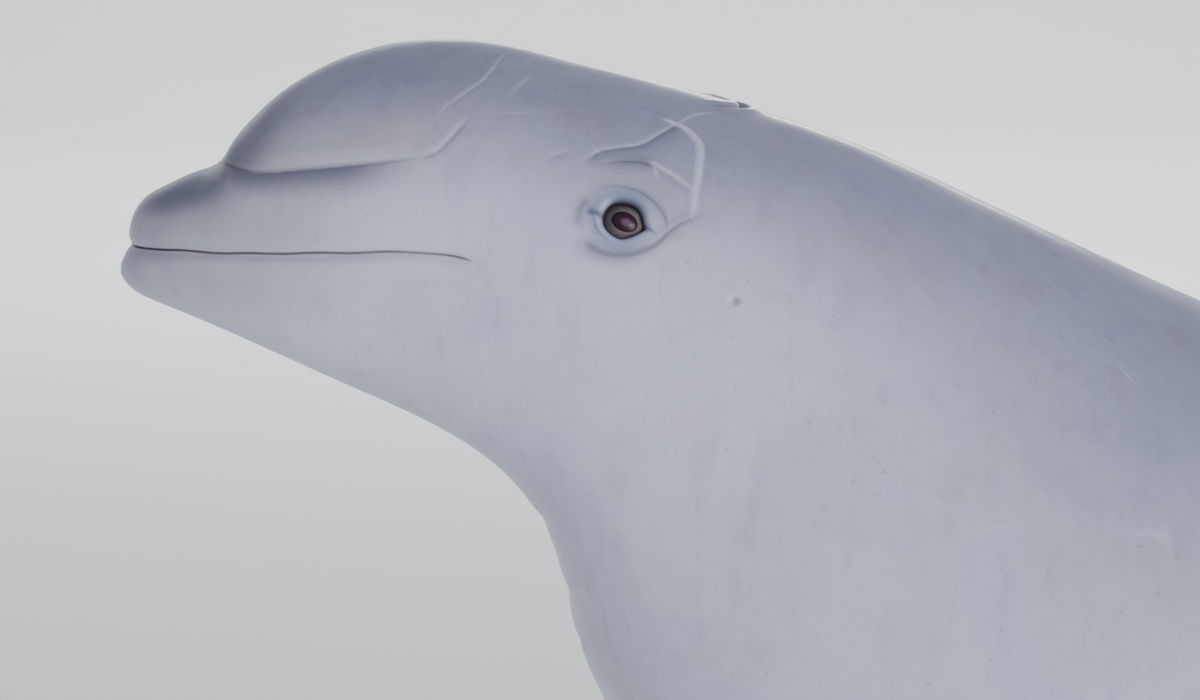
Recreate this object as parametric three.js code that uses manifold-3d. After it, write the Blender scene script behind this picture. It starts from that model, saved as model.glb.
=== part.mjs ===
// A life-size beluga whale in millimetres, +Z up, facing -X: the head is level, the neck is bent
// down behind it and the body hangs below the head, on a display stand of a flat base and two rods.
// The origin is the middle of the underside of the base.
import * as THREE from "three";
import { mergeVertices } from "three/addons/utils/BufferGeometryUtils.js";
import Module from "manifold-3d";

const wasm = await Module();
wasm.setup();

const degrees = THREE.MathUtils.degToRad;
const lerp = THREE.MathUtils.lerp;
const GAP = 0.3; // between pieces that meet face to face

// Spine: how far it turns, and over which stretch of its length from the snout
const NECK_BEND = { from: 170, to: 520, angle: degrees(-36) };
const BACK_BEND = { from: 900, to: 3500, angle: degrees(30) };
const SPINE = { start: -60, end: 4200, step: 2 };

// Where the named parts of the body end, along the spine
const HEAD_END = 430;
const NECK_END = 700;
const TORSO_FRONT_END = 1550;
const TORSO_REAR_END = 2650;
const TAIL_END = 3962;

// Body measures along the spine: back above it, belly below it, half width, height of the widest line.
// In front of the gape the widest line is the line of the mouth.
const STATIONS = [
  { at: 0, back: 32, belly: -24, half: 40, wide: 6 },
  { at: 60, back: 60, belly: -48, half: 69, wide: 9.5 },
  { at: 150, back: 98, belly: -88, half: 105, wide: 14 },
  { at: 222, back: 122, belly: -119, half: 125, wide: 17 },
  { at: 250, back: 130, belly: -131, half: 132, wide: 13.5 },
  { at: 332, back: 134, belly: -172, half: 150, wide: 0 },
  { at: 420, back: 146, belly: -226, half: 165, wide: -22 },
  { at: 520, back: 166, belly: -274, half: 192, wide: -45 },
  { at: 680, back: 198, belly: -334, half: 245, wide: -60 },
  { at: 900, back: 248, belly: -388, half: 305, wide: -63 },
  { at: 1200, back: 312, belly: -418, half: 352, wide: -50 },
  { at: 1500, back: 346, belly: -424, half: 370, wide: -40 },
  { at: 2000, back: 322, belly: -385, half: 340, wide: -30 },
  { at: 2500, back: 268, belly: -305, half: 268, wide: -10 },
  { at: 2800, back: 226, belly: -240, half: 212, wide: 0 },
  { at: 3200, back: 163, belly: -160, half: 138, wide: 5 },
  { at: 3600, back: 104, belly: -94, half: 78, wide: 5 },
  { at: 3960, back: 30, belly: -20, half: 16, wide: 5 },
];

// Superellipse powers of the sections, and where they change along the spine
const SECTION = { head_top: 2.35, head_belly: 2.5, body: 2.12, keel: 1.8 };
const BODY_FROM = { start: 300, full: 600 };
const KEEL_FROM = { start: 2600, full: 3400 };

// Snout: its plan is a power curve, and its tip is rounded off over a short length
const SNOUT = { length: 332, half: 150, power: 0.45, round: 22, fullness: 2.8 };
const LIPS = { upper_back: 2.8, jaw_ahead: 6.2, turn_low: -23, turn_high: 3, fade: 40 };
const GAPE = 241; // corner of the mouth, along the spine
const LIP_GROOVE = { depth: 2.5, spread: 5, fade_from: GAPE - 15, fade_to: GAPE + 10, aim: 25 };
const MOUTH_GAP = 0.8;

// Melon: an ellipse in side view, which stands out over the upper jaw along a crease
const MELON = { at: 222, height: 10, long: 165, high: 132.8, blend: 6 };
const OVERHANG = { most: 4.2, power: 0.7, fade_from: 120, fade_to: 240 };
const MELON_SEAT = [
  [50, 70], [68, 65.5], [88, 63], [111, 62.4], [145, 66], [184, 72.4],
  [204, 78], [214, 88], [222, 101], [232, 113], [244, 128], [262, 165],
];
const ABOVE_HEAD = 240;

// Rear edge of the lower jaw, from the gape down to the throat
const JAW_REAR = [[252, 9], [262, -6], [274, -45], [286, -110], [296, -260]];
const AHEAD_OF_SNOUT = -40;

// Eye: where it sits, the ball, the opening between the lids and the swelling round it
const EYE = { at: 325, height: 57, radius: 18, sunk: 16.5, half_angle: degrees(64) };
const LIDS = {
  long: 13.3, high: 10.7, low: 11.3, front_power: 0.77, rear_power: 2.1, flare: 1.18, deep: 16, raised: 5,
};
const EYE_TILT = degrees(2);
const EYE_SWELLING = { long: 30, high: 22, proud: 4, body: 6 };
const EAR = { at: 396, height: 36, radius: 2.5, depth: 5 };
const BLOWHOLE = { at: 372, half: 31, sag: 20, slit: 2.6, depth: 9, sunk: 2.3 };

// Fins, by their own lengths; `out` is the way a flipper points, to the side, back and up
const FLIPPER = {
  at: 862,
  below: degrees(-36),
  out: { side: 0.74, back: 0.52, up: -0.42 },
  length: 470,
  root: 178,
  swell: 92,
  thick: 58,
  tip_thick: 16,
  sweep: 34,
  curl: 62,
  sunk: 140,
};
const FLUKE = {
  span: 480,
  lead_root: 3625,
  lead_sweep: 322,
  lead_curl: 0.45,
  notch: 3992,
  lobe: 95,
  tip_draw: 30,
  thick: 56,
  tip_thick: 12,
  droop: 25,
};
const FIN_SECTION = { height: 0.62, taper: 0.45 };
const RIDGE = { from: 1820, to: 2430, high: 26, half: 27, sunk: 22, knobs: 9, knob: 0.1, end: 6 };

// Stand
const BASE = { long: 1900, wide: 720, thick: 36, corner: 60, bevel: 6 };
const ROD = { radius: 38, foot_radius: 95, foot_high: 16, foot_bevel: 8, collar: 6, into_belly: 90 };
const ROD_PLACES = { front: 1220, rear: 2300 }; // along the spine, above each rod
const SNOUT_PLACE = { x: -1345, z: 1515 }; // from the middle of the base's underside to the snout

// How finely the parts are faceted
const STEPS = {
  head: 34,
  neck: 7,
  torso_front: 12,
  torso_rear: 14,
  tail: 16,
  seat: 22,
  mouth: 14,
  fin: 14,
  ridge: 36,
  eye: 7,
  slit: 10,
};
const SEGMENTS = { head: 44, body: 32, fin: 16, ridge: 8, eye: 20, swelling: 24, slit: 8, ear: 8, rod: 24 };
const HEAD_CROWDS = { along: 1.45, around: 0.45 };

const MATERIALS = {
  skin: new THREE.MeshStandardMaterial({ color: 0xd4d5de, roughness: 0.38, metalness: 0 }),
  fin: new THREE.MeshStandardMaterial({ color: 0xcccdd8, roughness: 0.4, metalness: 0 }),
  eye: new THREE.MeshStandardMaterial({ color: 0x2a2024, roughness: 0.08, metalness: 0 }),
  stand_base: new THREE.MeshStandardMaterial({ color: 0x3a3d42, roughness: 0.5, metalness: 0 }),
  stand_rod: new THREE.MeshStandardMaterial({ color: 0xb4b6b9, roughness: 0.3, metalness: 1 }),
};

// A natural cubic spline of one body measure
function spline(measure) {
  const x = STATIONS.map((row) => row.at);
  const y = STATIONS.map((row) => row[measure]);
  const last = x.length - 1;
  const bend = new Array(last + 1).fill(0);
  const carried = new Array(last + 1).fill(0);
  for (let i = 1; i < last; i++) {
    const share = (x[i] - x[i - 1]) / (x[i + 1] - x[i - 1]);
    const pivot = share * bend[i - 1] + 2;
    const slopes = (y[i + 1] - y[i]) / (x[i + 1] - x[i]) - (y[i] - y[i - 1]) / (x[i] - x[i - 1]);
    bend[i] = (share - 1) / pivot;
    carried[i] = ((6 * slopes) / (x[i + 1] - x[i - 1]) - share * carried[i - 1]) / pivot;
  }
  bend[last] = 0;
  for (let i = last - 1; i >= 0; i--) bend[i] = bend[i] * bend[i + 1] + carried[i];
  return (at) => {
    let i = 0;
    while (i < last - 1 && at > x[i + 1]) i++;
    const step = x[i + 1] - x[i];
    const a = (x[i + 1] - at) / step;
    const b = (at - x[i]) / step;
    const cubic = (a ** 3 - a) * bend[i] + (b ** 3 - b) * bend[i + 1];
    return a * y[i] + b * y[i + 1] + (cubic * step * step) / 6;
  };
}

const backLine = spline("back");
const bellyLine = spline("belly");
const halfLine = spline("half");
const wideLine = spline("wide");

function ramp(value, from, to) {
  return THREE.MathUtils.smoothstep(value, from, to);
}

function steps(from, to, count) {
  return Array.from({ length: count + 1 }, (_, i) => lerp(from, to, i / count));
}

function turns(count) {
  return Array.from({ length: count }, (_, j) => (2 * Math.PI * j) / count);
}

function pitch(at) {
  return (
    NECK_BEND.angle * ramp(at, NECK_BEND.from, NECK_BEND.to) +
    BACK_BEND.angle * ramp(at, BACK_BEND.from, BACK_BEND.to)
  );
}

// Points of the spine at even steps, from a little before the snout
const spinePoints = [new THREE.Vector2(SPINE.start, 0)];
for (let at = SPINE.start; at < SPINE.end; at += SPINE.step) {
  const turn = pitch(at + SPINE.step / 2);
  const next = new THREE.Vector2(SPINE.step * Math.cos(turn), SPINE.step * Math.sin(turn));
  spinePoints.push(next.add(spinePoints[spinePoints.length - 1]));
}

// The point that lies `at` along the spine, `side` to the whale's right and `up` across the spine
function place(at, side, up) {
  const step = (at - SPINE.start) / SPINE.step;
  const i = Math.min(Math.max(Math.floor(step), 0), spinePoints.length - 2);
  const centre = spinePoints[i].clone().lerp(spinePoints[i + 1], step - i);
  const turn = pitch(at);
  return new THREE.Vector3(centre.x - up * Math.sin(turn), side, centre.y + up * Math.cos(turn));
}

// The ways back along the spine and up across it
function spineWays(at) {
  const turn = pitch(at);
  return {
    back: new THREE.Vector3(Math.cos(turn), 0, Math.sin(turn)),
    up: new THREE.Vector3(-Math.sin(turn), 0, Math.cos(turn)),
  };
}

// Rounds off the snout's tip
function tipRound(at) {
  const left = 1 - Math.min(Math.max(at / SNOUT.round, 0), 1);
  return (1 - left ** SNOUT.fullness) ** (1 / SNOUT.fullness);
}

function backHeight(at) {
  const base = backLine(at);
  const inside = 1 - ((at - MELON.at) / MELON.long) ** 2;
  if (inside <= 0) return base * tipRound(at);
  const melon = MELON.height + MELON.high * Math.sqrt(inside);
  return 0.5 * (base + melon + Math.hypot(base - melon, MELON.blend)) * tipRound(at);
}

function bellyHeight(at) {
  return bellyLine(at) * tipRound(at);
}

function halfWidth(at) {
  if (at >= SNOUT.length) return halfLine(at);
  return SNOUT.half * (Math.max(at, 0) / SNOUT.length) ** SNOUT.power;
}

// Superellipse power of a section's upper or lower half: full at the head, keeled at the tail
function fullness(at, upper) {
  const head = upper ? SECTION.head_top : SECTION.head_belly;
  const body = lerp(head, SECTION.body, ramp(at, BODY_FROM.start, BODY_FROM.full));
  return lerp(body, SECTION.keel, ramp(at, KEEL_FROM.start, KEEL_FROM.full));
}

// How far the skin is drawn back at the upper lip and pushed ahead at the jaw, near the snout's tip
function lipShift(at, rise) {
  const upper = ramp(rise, LIPS.turn_low, LIPS.turn_high);
  return lerp(-LIPS.jaw_ahead, LIPS.upper_back, upper) * Math.exp(-at / LIPS.fade);
}

function lipGroove(at, rise) {
  const closed = 1 - ramp(at, LIP_GROOVE.fade_from, LIP_GROOVE.fade_to);
  return LIP_GROOVE.depth * closed * Math.exp(-((rise / LIP_GROOVE.spread) ** 2));
}

// A point of the skin, grown outwards by `grow`: angle 0 is the right side, a quarter turn the back
function skinPoint(at, angle, grow = 0) {
  const upper = Math.sin(angle) >= 0;
  const power = 2 / fullness(at, upper);
  const wide = wideLine(at);
  const reach = upper ? backHeight(at) + grow - wide : bellyHeight(at) - grow - wide;
  const open = at > 0 ? 1 : 0;
  const rise = open * reach * Math.abs(Math.sin(angle)) ** power;
  const across = Math.sign(Math.cos(angle)) * Math.abs(Math.cos(angle)) ** power;
  const side = open * (halfWidth(at) + grow) * across;
  const point = place(at + lipShift(at, rise), side, wide + rise);
  const inward = place(at + LIP_GROOVE.aim, 0, wide).sub(point).normalize();
  return point.addScaledVector(inward, lipGroove(at, rise));
}

// The skin at a height over the spine, on one side: its point and the ways back, up and out
function skinFrame(at, height, side) {
  const wide = wideLine(at);
  const rise = (height - wide) / (backHeight(at) - wide);
  const angle = Math.asin(rise ** (fullness(at, true) / 2));
  const turn = side > 0 ? angle : Math.PI - angle;
  const near = { along: 6, around: 0.02 * side };
  const point = skinPoint(at, turn);
  const back = skinPoint(at + near.along, turn).sub(skinPoint(at - near.along, turn)).normalize();
  const round = skinPoint(at, turn + near.around).sub(skinPoint(at, turn - near.around));
  const up = round.addScaledVector(back, -round.dot(back)).normalize();
  const out = new THREE.Vector3().crossVectors(back, up);
  if (out.y * side < 0) out.negate();
  return { point, back, up, out };
}

// Closed surface through rings of equal count, its ends closed by fans. The halves of each ring are
// split into triangles alike, so that a thin fin's two faces match.
function loft(rings) {
  const count = rings[0].length;
  const points = rings.flat();
  const triangles = [];
  for (let i = 0; i + 1 < rings.length; i++) {
    for (let j = 0; j < count; j++) {
      const a = i * count + j;
      const b = i * count + ((j + 1) % count);
      const c = a + count;
      const d = b + count;
      if (j < count / 2) triangles.push(a, c, b, b, c, d);
      else triangles.push(a, c, d, a, d, b);
    }
  }
  for (const first of [0, (rings.length - 1) * count]) {
    const ring = points.slice(first, first + count);
    const middle = ring.reduce((sum, p) => sum.add(p), new THREE.Vector3()).divideScalar(count);
    points.push(middle);
    for (let j = 0; j < count; j++) {
      const pair = [first + j, first + ((j + 1) % count)];
      if (first > 0) pair.reverse();
      triangles.push(points.length - 1, ...pair);
    }
  }
  const geometry = new THREE.BufferGeometry().setFromPoints(points);
  geometry.setIndex(triangles);
  return geometry;
}

// A closed geometry as a solid that can be joined and cut, turned to face outwards
function solid(geometry) {
  const bare = new THREE.BufferGeometry();
  bare.setAttribute("position", geometry.getAttribute("position"));
  if (geometry.index) bare.setIndex(geometry.index);
  const merged = mergeVertices(bare, 1e-3);
  const kept = [];
  for (let i = 0; i < merged.index.count; i += 3) {
    const [a, b, c] = merged.index.array.slice(i, i + 3);
    if (a !== b && b !== c && c !== a) kept.push(a, b, c);
  }
  const build = (order) => {
    const points = merged.getAttribute("position").array;
    const mesh = { numProp: 3, vertProperties: points, triVerts: new Uint32Array(order) };
    return new wasm.Manifold(new wasm.Mesh(mesh));
  };
  const made = build(kept);
  return made.volume() > 0 ? made : build(kept.reverse());
}

// The largest closed surface of a solid, as a named mesh
function node(name, shape, material) {
  const pieces = shape.decompose().sort((one, other) => other.volume() - one.volume());
  const { vertProperties, triVerts } = pieces[0].getMesh();
  const geometry = new THREE.BufferGeometry();
  geometry.setAttribute("position", new THREE.BufferAttribute(vertProperties, 3));
  geometry.setIndex(new THREE.BufferAttribute(triVerts, 1));
  geometry.computeVertexNormals();
  const mesh = new THREE.Mesh(geometry, material);
  mesh.name = name;
  return mesh;
}

function group(...children) {
  return new THREE.Group().add(...children);
}

// Rings of the skin at places along it, grown by growAt(place, angle); their points crowd towards the
// widest line by `crowd`
function skinRings(places, segments, crowd, growAt) {
  return places.map((at) =>
    turns(segments).map((turn) => {
      const angle = turn - 0.5 * crowd * Math.sin(2 * turn);
      return skinPoint(at, angle, growAt(at, angle));
    }),
  );
}

function bodyPart(from, to, count, grow = 0) {
  return solid(loft(skinRings(steps(from + GAP, to, count), SEGMENTS.body, 0, () => grow)));
}

// A prism right across the whale over an outline of [along, up] pairs
function sidePrism(outline) {
  const corners = outline.map(([at, up]) => place(at, 0, up));
  const shape = new THREE.Shape(corners.map((p) => new THREE.Vector2(p.x, p.z)));
  const half = 500;
  const geometry = new THREE.ExtrudeGeometry(shape, { depth: 2 * half, bevelEnabled: false });
  geometry.rotateX(Math.PI / 2);
  geometry.translate(0, half, 0);
  return solid(geometry);
}

// The lower jaw's region, its edges moved outwards by `offset`
function jawRegion(offset) {
  const ahead = steps(AHEAD_OF_SNOUT, GAPE, STEPS.mouth);
  const mouth = ahead.map((at) => [at, wideLine(Math.max(at, 0)) + offset]);
  const rear = JAW_REAR.map(([at, up]) => [at + offset, up]);
  const lowest = JAW_REAR[JAW_REAR.length - 1][1];
  return sidePrism([...mouth, ...rear, [AHEAD_OF_SNOUT, lowest]]);
}

// The region over the melon's crease, its lower edge moved down by `offset`
function melonRegion(offset) {
  const seat = new THREE.SplineCurve(MELON_SEAT.map(([at, up]) => new THREE.Vector2(at, up - offset)));
  const first = MELON_SEAT[0][0];
  const last = MELON_SEAT[MELON_SEAT.length - 1][0];
  const edge = seat.getPoints(STEPS.seat).map((p) => [p.x, p.y]);
  return sidePrism([...edge, [last, ABOVE_HEAD], [first, ABOVE_HEAD]]);
}

// How far the melon stands out over the rest of the head: most at its sides, less towards its back
function melonOverhang(at, angle) {
  const rear = ramp(at, OVERHANG.fade_from, OVERHANG.fade_to);
  return OVERHANG.most * Math.abs(Math.cos(angle)) ** OVERHANG.power * (1 - rear);
}

// The front of an eyeball, along +Y, grown by `grow`
function eyeLens(grow) {
  const radius = EYE.radius + grow;
  const back = radius * Math.cos(EYE.half_angle) - grow;
  const dome = steps(0, EYE.half_angle, STEPS.eye).map(
    (angle) => new THREE.Vector2(radius * Math.sin(angle), radius * Math.cos(angle)),
  );
  dome[STEPS.eye].y = back;
  return new THREE.LatheGeometry([...dome, new THREE.Vector2(0, back)], SEGMENTS.eye);
}

// Moves a geometry made along +Y on to the skin, turned by `tilt` about the way out
function onSkin(geometry, frame, sunk, tilt) {
  const back = frame.back.clone().multiplyScalar(Math.cos(tilt)).addScaledVector(frame.up, -Math.sin(tilt));
  const up = new THREE.Vector3().crossVectors(back, frame.out);
  const matrix = new THREE.Matrix4().makeBasis(back, frame.out, up);
  matrix.setPosition(frame.point.clone().addScaledVector(frame.out, -sunk));
  return geometry.applyMatrix4(matrix);
}

// The opening between the lids, round in front and pointed behind, as a flaring plug along +Y
function lidOpening() {
  const plug = new THREE.CylinderGeometry(LIDS.flare, 1, LIDS.deep, SEGMENTS.eye);
  const points = plug.getAttribute("position");
  for (let i = 0; i < points.count; i++) {
    const along = points.getX(i);
    const across = points.getZ(i);
    const radius = Math.hypot(along, across) || 1;
    const power = along < 0 ? LIDS.front_power : LIDS.rear_power;
    const tall = across > 0 ? LIDS.high : -LIDS.low;
    points.setX(i, along * LIDS.long);
    points.setZ(i, Math.abs(across / radius) ** power * radius * tall);
  }
  return plug;
}

function withEye(head, side) {
  const frame = skinFrame(EYE.at, EYE.height, side);
  const swelling = new THREE.SphereGeometry(1, SEGMENTS.swelling, SEGMENTS.swelling / 2);
  swelling.scale(EYE_SWELLING.long, EYE_SWELLING.body, EYE_SWELLING.high);
  return head
    .add(solid(onSkin(swelling, frame, EYE_SWELLING.body - EYE_SWELLING.proud, EYE_TILT)))
    .subtract(solid(onSkin(lidOpening(), frame, -LIDS.raised, EYE_TILT)))
    .subtract(solid(onSkin(eyeLens(GAP), frame, EYE.sunk, EYE_TILT)));
}

function eyeball(side) {
  return solid(onSkin(eyeLens(0), skinFrame(EYE.at, EYE.height, side), EYE.sunk, EYE_TILT));
}

function earHole(side) {
  const hole = new THREE.ConeGeometry(EAR.radius, 2 * EAR.depth, SEGMENTS.ear);
  hole.rotateX(Math.PI);
  return solid(onSkin(hole, skinFrame(EAR.at, EAR.height, side), 0, 0));
}

// The crescent slit on top of the head, its ends towards the snout
function blowhole() {
  const up = new THREE.Vector3(0, 0, 1);
  const onTop = steps(-1, 1, STEPS.slit).map((t) => {
    const at = BLOWHOLE.at - BLOWHOLE.sag * t * t;
    const angle = Math.acos((BLOWHOLE.half * t) / halfWidth(at));
    return skinPoint(at, angle).addScaledVector(up, -BLOWHOLE.sunk);
  });
  const path = new THREE.CatmullRomCurve3(onTop);
  const rings = steps(0, 1, STEPS.slit).map((t) => {
    const across = new THREE.Vector3().crossVectors(path.getTangent(t), up).normalize();
    const open = Math.sqrt(Math.max(1 - (2 * t - 1) ** 4, 0.05));
    return turns(SEGMENTS.slit).map((angle) =>
      path
        .getPoint(t)
        .addScaledVector(across, BLOWHOLE.slit * open * Math.cos(angle))
        .addScaledVector(up, BLOWHOLE.depth * open * Math.sin(angle)),
    );
  });
  return solid(loft(rings));
}

function headGroup() {
  const places = steps(0, 1, STEPS.head).map((t) => HEAD_END * t ** HEAD_CROWDS.along);
  const skull = (growAt) => solid(loft(skinRings(places, SEGMENTS.head, HEAD_CROWDS.around, growAt)));
  const whole = skull(() => 0);
  const cut = whole.subtract(melonRegion(0)).subtract(jawRegion(MOUTH_GAP / 2)).subtract(blowhole());
  const head = [-1, 1].reduce((rest, side) => withEye(rest, side).subtract(earHole(side)), cut);
  return group(
    node("head", head, MATERIALS.skin),
    node("melon", skull(melonOverhang).intersect(melonRegion(-GAP)), MATERIALS.skin),
    node("lower_jaw", whole.intersect(jawRegion(-MOUTH_GAP / 2)), MATERIALS.skin),
    node("eye_left", eyeball(-1), MATERIALS.eye),
    node("eye_right", eyeball(1), MATERIALS.eye),
  );
}

// One ring of a fin between its leading and trailing edge, thinner towards the trailing edge
function finRing(lead, trail, thick, across) {
  return turns(SEGMENTS.fin).map((angle) => {
    const chord = 0.5 - 0.5 * Math.cos(angle);
    const rise = Math.sin(angle) * (1 - FIN_SECTION.taper * chord);
    return lead.clone().lerp(trail, chord).addScaledVector(across, FIN_SECTION.height * thick * rise);
  });
}

// A paddle that points out, back and down, its tip rounded and curled up
function flipper(side, torso) {
  const root = skinPoint(FLIPPER.at, side > 0 ? FLIPPER.below : Math.PI - FLIPPER.below);
  const { back, up } = spineWays(FLIPPER.at);
  const out = new THREE.Vector3(0, side * FLIPPER.out.side, 0)
    .addScaledVector(back, FLIPPER.out.back)
    .addScaledVector(up, FLIPPER.out.up)
    .normalize();
  const forward = back.clone().negate().addScaledVector(out, back.dot(out)).normalize();
  const across = new THREE.Vector3().crossVectors(forward, out).multiplyScalar(-side);
  const rings = steps(0, 1, STEPS.fin).map((step) => {
    const t = lerp(-FLIPPER.sunk / FLIPPER.length, 0.997, 1 - (1 - step) ** 1.5);
    const u = Math.max(t, 0);
    const swell = FLIPPER.swell * Math.sin(0.9 * Math.PI * u ** 0.9);
    const half = 0.5 * (FLIPPER.root + swell) * Math.sqrt(1 - u ** 3.8);
    const thick = lerp(FLIPPER.thick, FLIPPER.tip_thick, u ** 0.7) * Math.sqrt(1 - 0.85 * u ** 8);
    const middle = root
      .clone()
      .addScaledVector(out, FLIPPER.length * t)
      .addScaledVector(forward, -FLIPPER.sweep * u * u)
      .addScaledVector(across, FLIPPER.curl * u ** 2.5);
    const lead = middle.clone().addScaledVector(forward, half);
    return finRing(lead, middle.addScaledVector(forward, -half), thick, across);
  });
  return solid(loft(rings)).subtract(torso);
}

// Half of the tail's flukes, swept back to its tip, with a full lobe behind
function fluke(side, tail) {
  const rings = steps(0, 1, STEPS.fin).map((step) => {
    const u = Math.min(step ** 1.1, 0.994);
    const reach = side * (GAP / 2 + FLUKE.span * u);
    const blunt = Math.sqrt(1 - u ** 8);
    const swept = lerp(u, u ** 2.5, FLUKE.lead_curl);
    const lead = FLUKE.lead_root + FLUKE.lead_sweep * swept;
    const lobe = FLUKE.lobe * Math.sin(Math.PI * u ** 0.75) * (1 - 0.25 * u);
    const trail = FLUKE.notch + lobe - FLUKE.tip_draw * u;
    const middle = (lead + trail) / 2;
    const half = ((trail - lead) / 2) * blunt;
    const height = wideLine(FLUKE.lead_root) - FLUKE.droop * u * u;
    const thick = lerp(FLUKE.thick, FLUKE.tip_thick, u ** 0.6) * blunt;
    const ends = [place(middle - half, reach, height), place(middle + half, reach, height)];
    return finRing(...ends, thick, spineWays(middle).up);
  });
  return solid(loft(rings)).subtract(tail);
}

// The low, knobbed ridge along the middle of the back
function ridge(torso) {
  const rings = steps(0, 1, STEPS.ridge).map((u) => {
    const at = lerp(RIDGE.from, RIDGE.to, u);
    const fade = Math.sin(Math.PI * u) ** 0.55;
    const knobs = 1 + RIDGE.knob * Math.sin(2 * Math.PI * RIDGE.knobs * u);
    const high = RIDGE.high * fade * knobs - RIDGE.end * (1 - fade);
    const half = RIDGE.half * (0.35 + 0.65 * fade);
    const back = backHeight(at);
    return turns(SEGMENTS.ridge).map((angle) => {
      const rise = Math.sin(angle) * (Math.sin(angle) > 0 ? high : RIDGE.sunk / 2);
      return place(at, half * Math.cos(angle), back + rise - (Math.sin(angle) > 0 ? 0 : RIDGE.sunk / 2));
    });
  });
  return solid(loft(rings)).subtract(torso);
}

// A rod with a round foot on the base, its top cut to the belly over it
function rod(at, floor, body) {
  const belly = skinPoint(at, -Math.PI / 2);
  const low = floor + GAP;
  const foot = low + ROD.foot_high;
  const top = belly.z + ROD.into_belly;
  const profile = [
    [0, low],
    [ROD.foot_radius, low],
    [ROD.foot_radius, foot - ROD.foot_bevel],
    [ROD.foot_radius - ROD.foot_bevel, foot],
    [ROD.radius + ROD.collar, foot],
    [ROD.radius, foot + 2 * ROD.collar],
    [ROD.radius, top],
    [0, top],
  ];
  const outline = profile.map(([radius, height]) => new THREE.Vector2(radius, height));
  const geometry = new THREE.LatheGeometry(outline, SEGMENTS.rod);
  geometry.rotateX(Math.PI / 2);
  geometry.translate(belly.x, 0, 0);
  return solid(geometry).subtract(body);
}

// A slab with rounded corners and bevelled edges, its top at `floor`
function slab(x, floor) {
  const half = { x: BASE.long / 2 - BASE.bevel, y: BASE.wide / 2 - BASE.bevel };
  const shape = new THREE.Shape();
  for (const [cx, cy, quarter] of [[1, -1, -1], [1, 1, 0], [-1, 1, 1], [-1, -1, 2]]) {
    const from = (quarter * Math.PI) / 2;
    const centre = [cx * (half.x - BASE.corner), cy * (half.y - BASE.corner)];
    shape.absarc(...centre, BASE.corner, from, from + Math.PI / 2, false);
  }
  const geometry = new THREE.ExtrudeGeometry(shape, {
    depth: BASE.thick - 2 * BASE.bevel,
    bevelSize: BASE.bevel,
    bevelThickness: BASE.bevel,
    bevelSegments: 1,
    curveSegments: 5,
  });
  geometry.translate(x, 0, floor - BASE.thick + BASE.bevel);
  return solid(geometry);
}

// The body, its fins and the stand share the whale's own measures, whose zero is the snout's tip
const torsoFrontRoom = bodyPart(NECK_END, TORSO_FRONT_END, STEPS.torso_front, GAP);
const torsoRearRoom = bodyPart(TORSO_FRONT_END, TORSO_REAR_END, STEPS.torso_rear, GAP);
const tailRoom = bodyPart(TORSO_REAR_END, TAIL_END + GAP, STEPS.tail, GAP);
const baseTop = BASE.thick - SNOUT_PLACE.z;

const body = group(
  node("neck", bodyPart(HEAD_END, NECK_END, STEPS.neck), MATERIALS.skin),
  node("torso_front", bodyPart(NECK_END, TORSO_FRONT_END, STEPS.torso_front), MATERIALS.skin),
  node("torso_rear", bodyPart(TORSO_FRONT_END, TORSO_REAR_END, STEPS.torso_rear), MATERIALS.skin),
  node("tail_stock", bodyPart(TORSO_REAR_END, TAIL_END, STEPS.tail), MATERIALS.skin),
  node("dorsal_ridge", ridge(torsoRearRoom), MATERIALS.skin),
);
const fins = group(
  node("flipper_left", flipper(-1, torsoFrontRoom), MATERIALS.fin),
  node("flipper_right", flipper(1, torsoFrontRoom), MATERIALS.fin),
  node("fluke_left", fluke(-1, tailRoom), MATERIALS.fin),
  node("fluke_right", fluke(1, tailRoom), MATERIALS.fin),
);
const stand = group(
  node("stand_base", slab(-SNOUT_PLACE.x, baseTop), MATERIALS.stand_base),
  node("stand_rod_front", rod(ROD_PLACES.front, baseTop, torsoFrontRoom), MATERIALS.stand_rod),
  node("stand_rod_rear", rod(ROD_PLACES.rear, baseTop, torsoRearRoom), MATERIALS.stand_rod),
);

const whale = group(headGroup(), body, fins, stand);
whale.position.set(SNOUT_PLACE.x, 0, SNOUT_PLACE.z);

export default group(whale);
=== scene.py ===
"""The beluga whale's looks: one skin over the whole animal with its lids, creases, blowhole and fins,
two eyes, the stand's materials, a pale floor, soft light and the camera.

The whale's own lengths are in millimetres, and become metres where a mesh is made.
"""

import bpy
import numpy as np
from mathutils import Matrix, Vector


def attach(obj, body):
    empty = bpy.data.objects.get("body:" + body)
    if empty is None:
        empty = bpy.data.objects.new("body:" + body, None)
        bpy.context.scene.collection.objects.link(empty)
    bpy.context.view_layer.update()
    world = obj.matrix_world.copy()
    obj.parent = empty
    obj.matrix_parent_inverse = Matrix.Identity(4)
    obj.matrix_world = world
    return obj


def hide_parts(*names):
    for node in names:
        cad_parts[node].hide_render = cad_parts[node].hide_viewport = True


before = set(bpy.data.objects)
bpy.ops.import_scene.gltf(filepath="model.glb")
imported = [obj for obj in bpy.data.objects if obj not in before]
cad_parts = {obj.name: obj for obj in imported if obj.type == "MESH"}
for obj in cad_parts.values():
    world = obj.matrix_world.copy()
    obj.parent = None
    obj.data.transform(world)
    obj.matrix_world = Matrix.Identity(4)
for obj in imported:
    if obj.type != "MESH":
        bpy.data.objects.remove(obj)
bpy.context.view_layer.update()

MM = 0.001
SNOUT_PLACE = np.array([-1345.0, 0.0, 1515.0])

# Spine: how far it turns, and over which stretch of its length
NECK_BEND = {"start": 170, "end": 520, "angle": np.radians(-36)}
BACK_BEND = {"start": 900, "end": 3500, "angle": np.radians(30)}
SPINE = np.arange(-60.0, 4201.0, 1.0)
TAIL_END = 4003.0

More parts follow.
